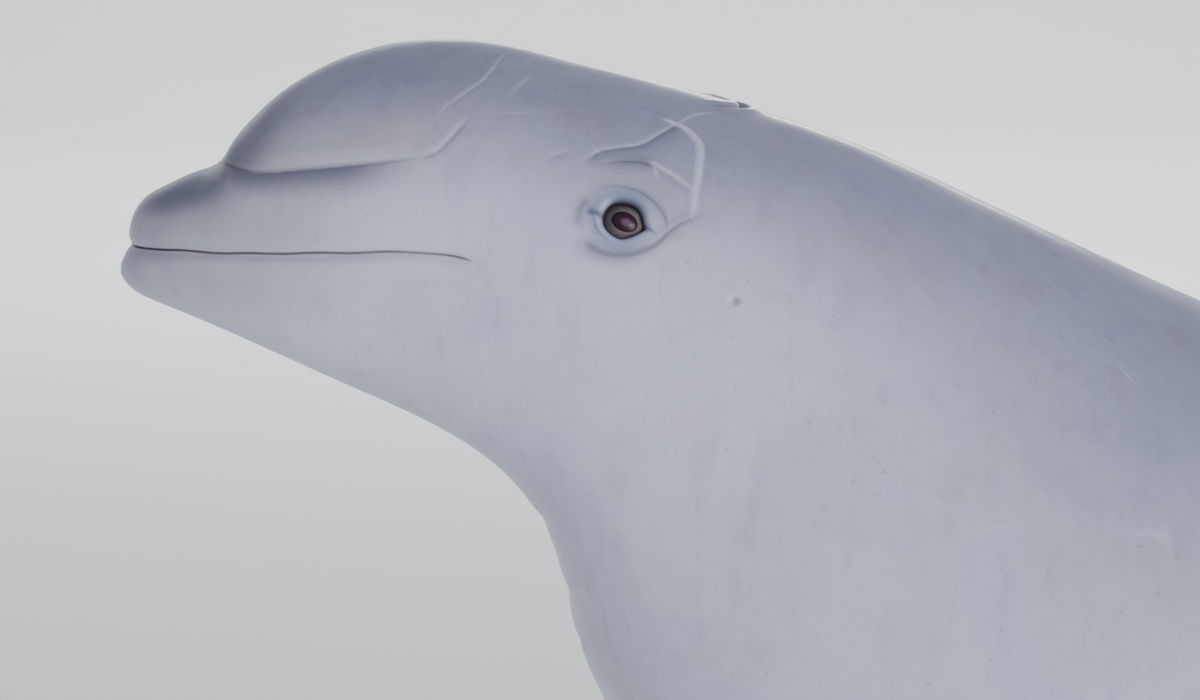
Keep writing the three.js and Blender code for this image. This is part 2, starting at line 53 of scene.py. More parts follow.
# Along the spine: back above it, belly below it, half width, height of the widest line
STATIONS = np.array([
    [0, 32, -24, 40, 6],
    [60, 60, -48, 69, 9.5],
    [150, 98, -88, 105, 14],
    [222, 122, -119, 125, 17],
    [250, 130, -131, 132, 13.5],
    [332, 134, -172, 150, 0],
    [420, 146, -226, 165, -22],
    [520, 166, -274, 192, -45],
    [680, 198, -334, 245, -60],
    [900, 248, -388, 305, -63],
    [1200, 312, -418, 352, -50],
    [1500, 346, -424, 370, -40],
    [2000, 322, -385, 340, -30],
    [2500, 268, -305, 268, -10],
    [2800, 226, -240, 212, 0],
    [3200, 163, -160, 138, 5],
    [3600, 104, -94, 78, 5],
    [3960, 30, -20, 16, 5],
])

SECTION = {"head_top": 2.35, "head_belly": 2.5, "body": 2.12, "keel": 1.8}
SNOUT = {"length": 332, "half": 150, "power": 0.45, "round": 22, "fullness": 2.8}
LIPS = {"upper_back": 2.8, "jaw_ahead": 6.2, "turn_low": -23, "turn_high": 3, "fade": 40}
GAPE = 241
LIP_GROOVE = {"depth": 2.5, "spread": 5, "aim": 25}
MOUTH_SLIT = {"depth": 3.0, "spread": 0.5, "puff": 0.35, "puff_at": 4, "puff_spread": 3}
# The mouth's line: dark, partly its own brownish colour and partly painted shade in the slit; a little
# painted shade beside it; and a warm tint
MOUTH_TINTS = (("dark", 0.62, 0.7), ("shade", 0.2, 2.4), ("warm", 0.5, 1.6))
CORNER = {"depth": 0.7, "spread": 4.5, "warm": 0.5, "warm_spread": 6}
MELON = {"at": 222, "height": 10, "long": 165, "high": 132.8, "blend": 6}
MELON_RAISE = {"most": 4.0, "front": (62, 118), "rear": (120, 240)}
MELON_DIP = {"deep": 2.4, "at": 60, "spread": 13, "rear": (58, 82)}
MELON_FOOT = {"high": 0.8, "at": 80, "spread": 10, "front": (68, 80)}
FACE = {"edge": 87, "lean": 0.45}
# Strengths of the head's painted shade on the face, melon and muzzle, of the warm painted pool of reflected
# light low on the melon, of the lips' warm tint, and of the painted highlight on the cheek
HEAD_TINTS = {"face": 0.88, "melon": 0.14, "muzzle": 0.27, "reflected_glow": 0.42, "lips": 0.25, "cheek_highlight": 0.7}

# The eye: its place on the head, the ball, the lids' opening and what surrounds them
EYE = {"at": 325, "height": 57, "radius": 18.0, "sunk": 16.5, "half_angle": np.radians(64)}
CORNEA = {"radius": 9.6, "bulge": 1.3}
IRIS = {"long": 8.4, "high": 5.9, "back": 0.3, "up": -0.9}
EYE_TILT = np.radians(2)
LIDS = {
    "long": 12.9, "high": 10.3, "low": 11.0, "front_power": 0.77, "rear_power": 2.1, "edge": 6.0,
    "round": 1.9, "clear": 0.3, "rings": 30,
}
SWELLING = {"long": 34, "high": 27, "proud": 4.0}
LID_RING = {"long": 24.5, "high": 20.5}
EYE_WINDOW = {"along": 38, "up": 33}
EYE_COLUMNS, EYE_ROWS = 96, 40

# The pocket behind the lids: how round, how large and how deep its rings are
POCKET = (
    (0.0, 1.0, 1.2), (0.3, 1.0, 3.0), (0.8, 1.0, 5.0), (1.0, 1.0, 7.5), (1.0, 0.98, 11.0),
    (1.0, 0.7, 12.0), (1.0, 0.35, 12.2),
)
POCKET_BOTTOM, POCKET_CLEAR = 12.3, 0.4

EAR = {"at": 396, "height": 36, "radius": 2.4, "depth": 3.0}
# The blowhole's dark is how far the painted shade in it spreads
BLOWHOLE = {"at": 372, "half": 31, "sag": 20, "depth": 7.5, "spread": 2.4, "dark": 2.2}
BLOWHOLE_LIP = {"high": 1.6, "at": 7, "spread": 5}

RIDGE = {"start": 1820, "end": 2430, "high": 26, "spread": 21.6, "knobs": 9, "knob": 0.1}
# The slit's dark is painted shade in its groove
BELLY_SLIT = {"front": (2330, 2400), "rear": (2560, 2640), "depth": 6, "spread": 7, "dark": 0.35}
SLIT_LIP = {"high": 4, "at": 26, "spread": 18}
NAVEL = {"at": 1790, "depth": 5, "spread": 14}
LUMPS = {
    "head": 0.5, "body": 3.2, "front": (450, 1100), "rear": (3000, 3700), "length": 620, "waves": 9,
    "seed": 7,
}
ROLLS = {"high": 3.5, "low": 0.55, "spread": 0.28, "front": (1100, 1600), "rear": (2300, 2900)}
FAR = 1000.0

# Fins, by their own lengths; `out` is the way a flipper points, to the side, back and up
FLIPPER = {
    "at": 862, "below": np.radians(-36), "out": (0.74, 0.52, -0.42), "length": 470, "root": 178,
    "swell": 92, "thick": 58, "tip_thick": 16, "sweep": 34, "curl": 62,
}
FLUKE = {
    "span": 480, "lead_root": 3625, "lead_sweep": 322, "lead_curl": 0.45, "notch": 3992, "lobe": 95,
    "tip_draw": 30, "thick": 56, "tip_thick": 12, "droop": 25,
}
FIN_SECTION = {"height": 0.62, "taper": 0.45}
FLIPPER_WINDOW = {"start": 730, "end": 1095, "low": np.radians(-58), "high": np.radians(-14)}
FLUKE_WINDOW = {"start": 3560, "end": 3990, "low": np.radians(-42), "high": np.radians(42)}
FILLET_ROWS = 14

# The studio and the camera, in metres and degrees
COVE = {"floor": 16.0, "curve": 5.0, "wall": 8.0, "sides": 96, "steps": 17}
CAMERA = {"place": (-1.0218, -1.5, 1.7505), "down": 11.5, "lens": 66.6, "sensor": 36, "clip_end": 200}

# How close the skin's points lie
COLUMNS = {"upper": 248, "lower": 128}
HEAD_SECTION = 300
BODY_SECTION = 1500
TIP_STEP, HEAD_STEP, EYE_STEP, BODY_STEP, TAIL_STEP = 0.7, 1.35, 0.85, 8.0, 5.0


def ramp(value, start, end):
    t = np.clip((value - start) / (end - start), 0, 1)
    return t * t * (3 - 2 * t)


def lerp(a, b, t):
    return a + (b - a) * t


def unit(vectors):
    return vectors / np.maximum(np.linalg.norm(vectors, axis=-1, keepdims=True), 1e-9)


def bell(value, spread):
    return np.exp(-((value / spread) ** 2))


def along_lengths(points):
    """How far each point lies along the path through them."""
    return np.concatenate([[0.0], np.cumsum(np.linalg.norm(np.diff(points, axis=0), axis=-1))])


def natural_spline(x, y):
    """The natural cubic spline through points, as a function."""
    step = np.diff(x)
    matrix = np.eye(len(x))
    right = np.zeros(len(x))
    for i in range(1, len(x) - 1):
        matrix[i, i - 1:i + 2] = step[i - 1], 2 * (step[i - 1] + step[i]), step[i]
        right[i] = 6 * ((y[i + 1] - y[i]) / step[i] - (y[i] - y[i - 1]) / step[i - 1])
    bend = np.linalg.solve(matrix, right)

    def value(place):
        i = np.clip(np.searchsorted(x, place) - 1, 0, len(x) - 2)
        a = (x[i + 1] - place) / step[i]
        b = (place - x[i]) / step[i]
        cubic = (a ** 3 - a) * bend[i] + (b ** 3 - b) * bend[i + 1]
        return a * y[i] + b * y[i + 1] + cubic * step[i] ** 2 / 6

    return value


back_line, belly_line, half_line, wide_line = (
    natural_spline(STATIONS[:, 0], STATIONS[:, column]) for column in range(1, 5)
)


def pitch(at):
    neck = NECK_BEND["angle"] * ramp(at, NECK_BEND["start"], NECK_BEND["end"])
    return neck + BACK_BEND["angle"] * ramp(at, BACK_BEND["start"], BACK_BEND["end"])


def spine_table(turn):
    step = turn(pitch((SPINE[1:] + SPINE[:-1]) / 2)) * np.diff(SPINE)
    return np.concatenate([[0.0], np.cumsum(step)])


SPINE_X = SPINE[0] + spine_table(np.cos)
SPINE_Z = spine_table(np.sin)


def place(at, side, up):
    """The point at a place along the spine, so far to the whale's right and up across the spine."""
    turn = pitch(at)
    x = np.interp(at, SPINE, SPINE_X) - up * np.sin(turn)
    z = np.interp(at, SPINE, SPINE_Z) + up * np.cos(turn)
    return np.stack(np.broadcast_arrays(x, side, z), -1) + SNOUT_PLACE


def spine_ways(at):
    """The ways back along the spine and up across it."""
    turn = np.asarray(pitch(at))
    zero = np.zeros_like(turn)
    back = np.stack([np.cos(turn), zero, np.sin(turn)], -1)
    return back, np.stack([-np.sin(turn), zero, np.cos(turn)], -1)


def tip_round(at):
    left = 1 - np.clip(at / SNOUT["round"], 0, 1)
    return (1 - left ** SNOUT["fullness"]) ** (1 / SNOUT["fullness"])


def back_height(at):
    base = back_line(at)
    inside = np.maximum(1 - ((at - MELON["at"]) / MELON["long"]) ** 2, 0)
    melon = MELON["height"] + MELON["high"] * np.sqrt(inside)
    joined = 0.5 * (base + melon + np.hypot(base - melon, MELON["blend"]))
    return np.where(inside > 0, joined, base) * tip_round(at)


def half_width(at):
    nose = SNOUT["half"] * (np.maximum(at, 0) / SNOUT["length"]) ** SNOUT["power"]
    return np.where(at < SNOUT["length"], nose, half_line(at))


def fullness(at, upper):
    """Superellipse power of a section's upper or lower half."""
    head = np.where(upper, SECTION["head_top"], SECTION["head_belly"])
    body = lerp(head, SECTION["body"], ramp(at, 300, 600))
    return lerp(body, SECTION["keel"], ramp(at, 2600, 3400))


def reach(at, upper):
    """From the widest line to the back or the belly."""
    middle = wide_line(at) * ramp(at, 0, 1.0)
    return np.where(upper, back_height(at), belly_line(at) * tip_round(at)) - middle


def rise_of(at, angle):
    """Height over the widest line of the skin at an angle, where 0 is the right side."""
    upper = np.sin(angle) >= 0
    return reach(at, upper) * np.abs(np.sin(angle)) ** (2 / fullness(at, upper))


def angle_of(at, height):
    """The right side's angle at a height over the spine."""
    rise = height - wide_line(at)
    upper = rise >= 0
    share = np.clip(rise / reach(at, upper), 0, 1)
    return np.where(upper, 1, -1) * np.arcsin(share ** (fullness(at, upper) / 2))


def plain_skin(at, angle):
    """Points of the skin without its folds: angle 0 is the right side, a quarter turn is the back."""
    at, angle = np.broadcast_arrays(np.asarray(at, float), np.asarray(angle, float))
    rise = rise_of(at, angle)
    power = 2 / fullness(at, np.sin(angle) >= 0)
    across = np.sign(np.cos(angle)) * np.abs(np.cos(angle)) ** power
    wide = wide_line(at)
    lip = ramp(rise, LIPS["turn_low"], LIPS["turn_high"])
    shift = lerp(-LIPS["jaw_ahead"], LIPS["upper_back"], lip) * np.exp(-at / LIPS["fade"])
    points = place(at + shift, half_width(at) * across, wide + rise)
    inward = unit(place(at + LIP_GROOVE["aim"], 0.0 * at, wide) - points)
    closed_mouth = 1 - ramp(at, GAPE - 15, GAPE + 10)
    groove = LIP_GROOVE["depth"] * closed_mouth * bell(rise, LIP_GROOVE["spread"])
    return points + inward * groove[..., None]


def plain_ways(at, angle):
    """The ways back along the skin, round it and out of it."""
    near_at, near_angle = 0.4, 0.004
    low = np.maximum(at - near_at, 0.02)
    back = plain_skin(low + 2 * near_at, angle) - plain_skin(low, angle)
    around = plain_skin(at, angle + near_angle) - plain_skin(at, angle - near_angle)
    return back / (2 * near_at), around / (2 * near_angle), unit(np.cross(around, back))


# Paths on the head as (along the spine, height over it), followed backwards. Each is a crease, a scar
# or a fold. Its groove has a depth and a width. A roll of skin lies beside it, above the path, or
# below it where the roll is negative. dark is painted shade in the groove. pale is a scar's own colour
# on the scars, and a painted highlight along the edges of the folds. shade is a broad painted shadow
# on both sides of it, or only on one. ends are the shares over which it fades out.
PATHS = {
    "melon_seat": {
        "front": [(66.5, 90), (66.9, 81), (68.2, 74), (71.5, 66)],
        "path": [(77.5, 65.4), (85, 64.1), (93, 63.4), (101, 63), (110, 63.4), (129, 65.8), (150, 68.5),
                 (172, 71.3), (197, 74.8), (209, 77.4), (213, 78.6)],
        "depth": 1.7, "width": 1.2, "roll": 1.5, "roll_width": 8, "dark": 0.45, "ends": (0.34, 0.16),
        "start": 0.12,
    },
    "melon_shadow": {
        "path": [(77, 64.4), (92, 62.5), (110, 62.6), (129, 65), (150, 67.6), (172, 70.4), (197, 73.8),
                 (213, 77.4)],
        "shade": 1.0, "shade_width": 15, "shade_side": -1, "ends": (0.12, 0.35),
    },
    "melon_line": {
        "path": [(213.5, 80), (211.9, 85.8), (212.4, 91.2), (214.9, 96.8), (218.4, 102.4), (222.4, 107.8),
                 (229.4, 114.2), (234.9, 119), (239.4, 122.8), (243.4, 128.6), (246.6, 134), (250, 140)],
        "depth": 0.5, "width": 1.4, "roll": 1.3, "roll_width": 7, "pale": 0.5, "pale_width": 1.0,
        "ends": (0.5, 0.12), "shade": 0.3, "shade_width": 5, "shade_side": 1,
    },
    "melon_fold": {
        "path": [(209, 77.2), (212, 77.9), (216.4, 79.5), (221.4, 83.7), (224.9, 88), (228.4, 92.6),
                 (231.9, 97.4), (234.9, 101.5), (236.5, 106)],
        "depth": 0.8, "width": 1.3, "roll": 1.0, "roll_width": 5, "dark": 0.3, "pale": 0.25,
        "pale_width": 1.6, "pale_shift": 2.2, "ends": (0.1, 0.35), "shade": 0.2, "shade_width": 5,
        "shade_side": -1,
    },
    "head_streak": {
        "path": [(254.4, 111.6), (256.9, 118.6), (259.4, 123.1), (262.4, 126.8), (264.8, 130.4)],
        "depth": -0.3, "width": 1.6, "pale": 0.35, "pale_width": 1.5, "ends": (0.6, 0.3),
    },
    "eye_ring_top": {
        "path": [(300.5, 56), (302, 63.5), (305.2, 69.6), (309, 73), (314.3, 75.2), (321.8, 76.3),
                 (327.8, 76), (333, 74.4), (338.8, 71.2), (342.8, 67.8), (345.8, 63.8), (347.3, 59.6),
                 (347.5, 54)],
        "depth": 1.2, "width": 0.9, "roll": 0.9, "roll_width": 4.5, "dark": 0.6, "ends": (0.7, 0.12),
        "shade": 0.3, "shade_width": 4.0,
    },
    "eye_ring_low": {
        "path": [(301.5, 43), (305, 39.4), (308.5, 37.1), (311.5, 36), (314.5, 35.4), (319.8, 35.2),
                 (325.8, 36.3), (331.8, 38.6), (336.3, 41.4), (340.6, 45.3), (345, 50.7), (347.8, 56.3),
                 (350.6, 61.7), (354.8, 67.2), (360.3, 72.4), (366.8, 77.8), (373.3, 83)],
        "depth": 1.1, "width": 1.2, "roll": -0.9, "roll_width": 4.5, "dark": 0.42, "ends": (0.12, 0.5),
        "shade": 0.65, "shade_width": 6.5,
    },
    "eye_ring_front": {
        "path": [(303, 67), (299.6, 60), (298.4, 52), (300.4, 44)],
        "depth": 1.0, "width": 2.6, "shade": 0.4, "shade_width": 5, "ends": (0.3, 0.3),
    },
    "canthus_front": {
        "path": [(302.0, 58.3), (305.3, 57.4), (309.5, 56.8), (315, 56.0)],
        "depth": 1.2, "width": 1.1, "roll": 0.4, "roll_width": 2.5, "dark": 0.35, "ends": (0.3, 0.0),
        "shade": 0.75, "shade_width": 2.8,
    },
    "canthus_rear": {
        "path": [(334, 57.3), (338.6, 56), (342.8, 54.9), (346.2, 53.6)],
        "depth": 1.2, "width": 1.0, "roll": 0.4, "roll_width": 2.5, "dark": 0.5, "ends": (0.0, 0.8),
        "shade": 0.6, "shade_width": 2.4,
    },
    "lid_fold_low": {
        "path": [(303.5, 58.5), (306.5, 56.4), (308.4, 53.6), (310.3, 49.7), (313.3, 46.1), (317.3, 43.6),
                 (322.3, 42.2), (328.3, 42.6)],
        "depth": 0.7, "width": 0.8, "roll": 0.5, "roll_width": 1.8, "dark": 0.3, "ends": (0.3, 0.6),
        "pale": 0.25, "pale_width": 0.9, "pale_shift": 1.6, "shade": 0.25, "shade_width": 2.4,
    },
    "brow": {
        "path": [(296.3, 84.2), (300.3, 88.4), (303.8, 92.4), (308.3, 95), (314.8, 98), (319.5, 99.9),
                 (324.8, 103), (329, 107.3), (333.3, 112.2), (337.0, 116.2), (339.6, 118.8)],
        "depth": 0.6, "width": 2.0, "roll": 0.7, "roll_width": 4.0, "dark": 0.08, "pale": 0.5,
        "pale_width": 0.75, "pale_shift": 0.8, "ends": (0.15, 0.06), "shade": 0.6, "shade_width": 9,
        "shade_side": -1,
    },
    "brow_front": {
        "path": [(277, 82), (282.8, 86.4), (288.3, 89.0), (294, 90.8)],
        "depth": 0.3, "width": 1.6, "roll": 0.3, "roll_width": 3, "pale": 0.22, "pale_width": 1.0,
        "ends": (0.3, 0.4), "shade": 0.25, "shade_width": 6, "shade_side": -1,
    },
    "brow_star": {
        "path": [(299.5, 96), (303.6, 92.6), (307.5, 91)],
        "pale": 0.5, "pale_width": 0.8, "ends": (0.4, 0.4), "left": True,
    },
    "lid_crease": {
        "path": [(301, 82), (305, 84.8), (309.8, 87.4), (313.8, 89.2), (317.8, 90.8), (324.3, 92.6),
                 (328.2, 92.7), (331.5, 91.4), (333.8, 89.4)],
        "depth": 1.0, "width": 0.8, "roll": 0.6, "roll_width": 3.0, "dark": 0.55, "ends": (0.6, 0.16),
        "shade": 0.62, "shade_width": 6.5,
    },
    "lid_scar": {
        "path": [(327.5, 95), (331.3, 94), (335.3, 93), (341.8, 91.3), (347.8, 89.2), (354.8, 86)],
        "depth": -0.5, "width": 1.5, "pale": 0.75, "pale_width": 1.9, "ends": (0.25, 0.1), "left": True,
        "shade": 0.35, "shade_width": 5, "shade_side": -1,
    },
    "lid_streak": {
        "path": [(332.6, 93), (334.6, 89), (336.6, 84.5)],
        "depth": -0.2, "width": 1.5, "pale": 0.45, "pale_width": 1.3, "ends": (0.2, 0.5), "left": True,
    },
    "scar_band": {
        "path": [(330, 119.5), (333.5, 118.8), (336.8, 118.4), (340.2, 118.2), (343.8, 117.5),
                 (347.5, 115.6), (350.8, 113), (352.8, 109.6), (353.9, 103.6), (355.0, 96.6),
                 (355.8, 88.3), (356.8, 80.5), (358.2, 72.8), (359.2, 68.5)],
        "depth": -0.6, "width": 2.3, "pale": 0.9, "pale_width": 2.9, "ends": (0.1, 0.1), "left": True,
    },
    "scar_cross": {
        "path": [(336.5, 115.6), (339.6, 118.9), (342.3, 122), (347.3, 126.2), (354.3, 129.8),
                 (360, 131.6)],
        "depth": -0.2, "width": 1.4, "pale": 0.55, "pale_width": 1.3, "ends": (0.2, 0.4), "left": True,
    },
}
PLAIN_PATH = {
    "depth": 0.0, "width": 1.0, "roll": 0.0, "roll_width": 4.0, "dark": 0.0, "pale": 0.0,
    "pale_width": 1.2, "pale_shift": 0.0, "shade": 0.0, "shade_width": 6.0, "shade_side": 0,
    "ends": (0.2, 0.2), "start": 0.0, "left": False,
}

# Folds across the throat and the neck, as (along the spine, angle in degrees from the right side)
THROAT_FOLDS = [
    [(331, -90), (328, -70), (318, -52), (306, -40)],
    [(398, -90), (396, -66), (388, -44), (374, -28)],
    [(447, -90), (443, -68), (437, -50), (433, -38)],
    [(566, -90), (563, -64), (552, -42), (538, -25)],
]
# Each throat fold's groove and roll, and the broad painted shade along it
THROAT_FORM = {
    "depth": 1.3, "width": 8, "roll": 1.0, "roll_width": 17, "shade": 0.12, "shade_width": 9,
    "ends": (0, 0.8),
}


def smooth_path(points):
    """The points of a path made a smooth curve, close together."""
    points = np.asarray(points, float)
    lengths = along_lengths(points)
    count = max(int(lengths[-1] / 0.4), 12)
    places = np.linspace(0, lengths[-1], count)
    return np.stack([natural_spline(lengths, column)(places) for column in points.T], -1)


def by_angle(pairs):
    """Places by their height over the spine, given by their angle instead, in degrees."""
    at, height = np.asarray(pairs, float).T
    return list(zip(at, np.degrees(angle_of(at, height))))


def side_path(pairs):
    """A path on the right side, with the way along it and the way up across it at each point."""
    path = smooth_path(pairs)
    at, angle = path[:, 0], np.radians(path[:, 1])
    points = plain_skin(at, angle)
    out = plain_ways(at, angle)[2]
    ahead = unit(np.gradient(points, axis=0))
    return {"points": points, "ahead": ahead, "up": unit(np.cross(ahead, out))}


def near_path(points, path, radius):
    """For the points within a radius of a path: which they are, how far to its side they lie, with a
    sign, and how far along it from 0 to 1."""
    low = path["points"].min(0) - radius
    high = path["points"].max(0) + radius
    close = np.where(((points > low) & (points < high)).all(1))[0]
    gaps = np.linalg.norm(points[close, None] - path["points"][None], axis=-1)
    nearest = gaps.argmin(1)
    keep = gaps[np.arange(len(close)), nearest] < radius
    close, nearest = close[keep], nearest[keep]
    away = points[close] - path["points"][nearest]
    ahead = (away * path["ahead"][nearest]).sum(1)
    ends = (nearest == 0) & (ahead < 0) | (nearest == len(path["points"]) - 1) & (ahead > 0)
    side = (away * path["up"][nearest]).sum(1)
    past = np.where(ends, np.abs(ahead), 0.0)
    return close, np.sign(side) * np.hypot(side, past), nearest / (len(path["points"]) - 1)


def fade(share, ends, low=0.0):
    """1 along a path, fading out over a share of it at each end, or to low at its start."""
    start = lerp(low, 1, ramp(share, 0, ends[0])) if ends[0] else 1.0
    return start * (1 - ramp(share, 1 - ends[1], 1) if ends[1] else 1.0)


def eye_frame():
    """The eye's place on the right side, and the ways back, up and out of the tilted lids."""
    angle = angle_of(EYE["at"], EYE["height"])
    point = plain_skin(EYE["at"], angle)
    back, _, out = plain_ways(EYE["at"], angle)
    back = unit(back)
    up = np.cross(back, out)
    return {
        "point": point, "angle": angle, "out": out,
        "back": back * np.cos(EYE_TILT) - up * np.sin(EYE_TILT),
        "up": up * np.cos(EYE_TILT) + back * np.sin(EYE_TILT),
    }


RIGHT_EYE = eye_frame()


def mirrored(points):
    """Points brought to the right side."""
    return points * np.array([1.0, 0.0, 1.0]) + np.abs(points) * np.array([0.0, 1.0, 0.0])


def eye_plane(points):
    """How far points lie back and up from the eye's middle, in the plane of the tilted lids."""
    away = mirrored(points) - RIGHT_EYE["point"]
    return away @ RIGHT_EYE["back"], away @ RIGHT_EYE["up"]


def ball_height(distance):
    """Height of the eyeball over the plain skin at a distance from its axis."""
    return np.sqrt(EYE["radius"] ** 2 - distance ** 2) - EYE["sunk"]


class Relief:
    """Height of the folds over the plain skin, and the masks painted on it there: dark for painted shade in
    creases and hollows, pale for scars and painted highlights, warm tints, broad painted shade, and the
    lids' tint.
    """

    def __init__(self, at, angle, points):
        self.at = at
        self.angle = angle
        self.points = mirrored(points)
        self.is_left = points[:, 1] < 0
        self.rise = rise_of(at, angle)
        self.over_spine = self.rise + wide_line(at)
        self.height = np.zeros(len(at))
        self.masks = {name: np.zeros(len(at)) for name in ("dark", "pale", "warm", "shade", "lids")}

    def tint(self, name, strength, where=slice(None)):
        """Makes a mask at least so strong."""
        mask = self.masks[name]
        mask[where] = np.maximum(mask[where], strength)

    def add_path(self, path, form):
        form = {**PLAIN_PATH, **form}
        widest = max(form[name] for name in ("width", "roll_width", "pale_width", "shade_width"))
        close, side, share = near_path(self.points, path, 3 * widest)
        if form["left"]:
            close, side, share = (values[self.is_left[close]] for values in (close, side, share))
        strength = fade(share, form["ends"], form["start"])
        groove = bell(side, form["width"])
        rolled = np.maximum(np.sign(form["roll"]) * side, 0) / form["roll_width"]
        roll = abs(form["roll"]) * 2.2 * rolled * np.exp(-1.6 * rolled)
        self.height[close] += strength * (roll - form["depth"] * groove)
        # Painted shade in the groove (dark); a scar's pale colour, and on folds a painted highlight along
        # the edge (pale); a broad painted shadow beside the path (shade)
        self.tint("dark", strength * form["dark"] * groove, close)
        across = (side - form["pale_shift"]) / (form["pale_width"] * (0.6 + 0.4 * np.sin(np.pi * share)))
        self.tint("pale", strength * form["pale"] * np.exp(-across ** 4), close)
        shade = strength * form["shade"] * bell(side, form["shade_width"])
        if form["shade_side"]:
            shade = shade * ramp(form["shade_side"] * side, -1.5, 1.0)
        self.tint("shade", shade, close)

    def add_mouth(self):
        closed_mouth = 1 - ramp(self.at, GAPE - 9, GAPE + 5)
        waver = 0.35 * np.sin(self.at / 17) + 0.25 * np.sin(self.at / 7.3 + 1)
        rise = self.rise - waver * ramp(self.at, 10, 40)
        puff = MOUTH_SLIT["puff"] * bell(np.abs(rise) - MOUTH_SLIT["puff_at"], MOUTH_SLIT["puff_spread"])
        slit = MOUTH_SLIT["depth"] * bell(rise, MOUTH_SLIT["spread"])
        self.height += closed_mouth * (puff - slit)
        # The line's dark is partly painted shade in the slit, and its shade is painted shade beside it
        for name, strength, spread in MOUTH_TINTS:
            self.tint(name, strength * closed_mouth * bell(rise, spread))
        gap = np.linalg.norm(self.points - plain_skin(GAPE + 5.0, 0.0), axis=1)
        self.height -= CORNER["depth"] * bell(gap, CORNER["spread"])
        self.tint("warm", CORNER["warm"] * bell(gap, CORNER["warm_spread"]))

    def over_crease(self):
        """Height over the crease between the melon and the upper jaw."""
        crease = np.array(PATHS["melon_seat"]["path"])
        return self.over_spine - np.interp(self.at, crease[:, 0], crease[:, 1])

    def add_melon(self):
        raised = ramp(self.over_crease(), 0, 10) * np.abs(np.cos(self.angle)) ** 0.7
        front = ramp(self.at, *MELON_RAISE["front"])
        rear = 1 - ramp(self.at, *MELON_RAISE["rear"])
        self.height += MELON_RAISE["most"] * raised * front * rear
        on_top = ramp(np.sin(self.angle), 0.55, 0.92)
        dip = bell(self.at - MELON_DIP["at"], MELON_DIP["spread"]) * (1 - ramp(self.at, *MELON_DIP["rear"]))
        foot = bell(self.at - MELON_FOOT["at"], MELON_FOOT["spread"]) * ramp(self.at, *MELON_FOOT["front"])
        self.height += on_top * (MELON_FOOT["high"] * foot - MELON_DIP["deep"] * dip)

    def tint_head(self):
        # Painted shade where the melon's front and the top of the beak turn from the light, over the melon
        # and over the muzzle; a warm painted pool of reflected light low on the melon; a warm tint on the
        # lips; a painted highlight on the cheek
        over, upward = self.over_crease(), np.sin(self.angle)
        edge = FACE["edge"] + FACE["lean"] * np.maximum(over, 0)
        face = ramp(over, -3, 5) * (1 - ramp(self.at, edge - 6, edge + 42))
        beak = ramp(upward, 0.2, 0.85) * ramp(self.at, 0, 36) * (1 - ramp(self.at, 85, 120))
        aside = 1 - 0.45 * ramp(upward, 0.8, 1.0)
        melon = ramp(over, 0, 10) * (1 - ramp(self.at, 180, 235))
        muzzle = (1 - ramp(self.at, 80, 200)) * ramp(self.over_spine, -50, -10)
        reflected_glow = ramp(over, 0, 4) * (1 - ramp(over, 15, 32))
        reflected_glow = reflected_glow * ramp(self.at, edge, edge + 16) * (1 - ramp(self.at, 190, 222))
        cheek_highlight = bell(self.at - 220, 40) * bell(self.over_spine - 25, 24)
        self.tint("shade", np.maximum(HEAD_TINTS["face"] * face, beak) * aside)
        self.tint("shade", HEAD_TINTS["melon"] * melon)
        self.tint("shade", HEAD_TINTS["muzzle"] * muzzle)
        self.tint("warm", HEAD_TINTS["reflected_glow"] * reflected_glow)
        self.tint("warm", HEAD_TINTS["lips"] * muzzle)
        self.tint("pale", HEAD_TINTS["cheek_highlight"] * cheek_highlight)

    def add_eye(self):
        x, y = eye_plane(self.points)
        close = np.hypot(x, y) < 80
        distance = np.hypot(x / SWELLING["long"], y / SWELLING["high"])
        self.height += close * SWELLING["proud"] * (1 - ramp(distance, 0.35, 1.0))
        ring = np.hypot(x / LID_RING["long"], y / LID_RING["high"])
        self.tint("lids", close * (1 - ramp(ring, 0.8, 1.08)) * (1 - 0.65 * ramp(x, 2, 20)))

    def add_ear(self):
        ear = plain_skin(EAR["at"], angle_of(EAR["at"], EAR["height"]))
        gap = np.linalg.norm(self.points - ear, axis=1)
        self.height += 0.4 * bell(gap - 5, 2.5) - EAR["depth"] * bell(gap, EAR["radius"])
        # Painted shade in the ear's opening
        self.tint("dark", 0.5 * bell(gap, 1.4))

    def add_blowhole(self):
        t = np.linspace(0, 1, 40)
        at = BLOWHOLE["at"] - BLOWHOLE["sag"] * t ** 2
        points = plain_skin(at, np.arccos(np.clip(BLOWHOLE["half"] * t / half_width(at), 0, 1)))
        ahead = unit(np.gradient(points, axis=0))
        path = {"points": points, "ahead": ahead, "up": unit(np.cross(ahead, [0, 0, 1.0]))}
        close, side, share = near_path(self.points, path, 26)
        side = np.where(share == 0, np.abs(side), side)
        open_to = 1 - ramp(share, 0.75, 1)
        lip = BLOWHOLE_LIP["high"] * bell(np.abs(side) - BLOWHOLE_LIP["at"], BLOWHOLE_LIP["spread"])
        self.height[close] += open_to * (lip - BLOWHOLE["depth"] * bell(side, BLOWHOLE["spread"]))
        # Painted shade in the blowhole
        self.tint("dark", open_to * bell(side, BLOWHOLE["dark"]), close)

    def add_throat(self):
        for number, fold in enumerate(THROAT_FOLDS):
            size = 1 + 0.35 * np.sin(2.4 * number)
            sized = {name: THROAT_FORM[name] * size for name in ("depth", "width", "roll")}
            self.add_path(side_path(fold), {**THROAT_FORM, **sized})

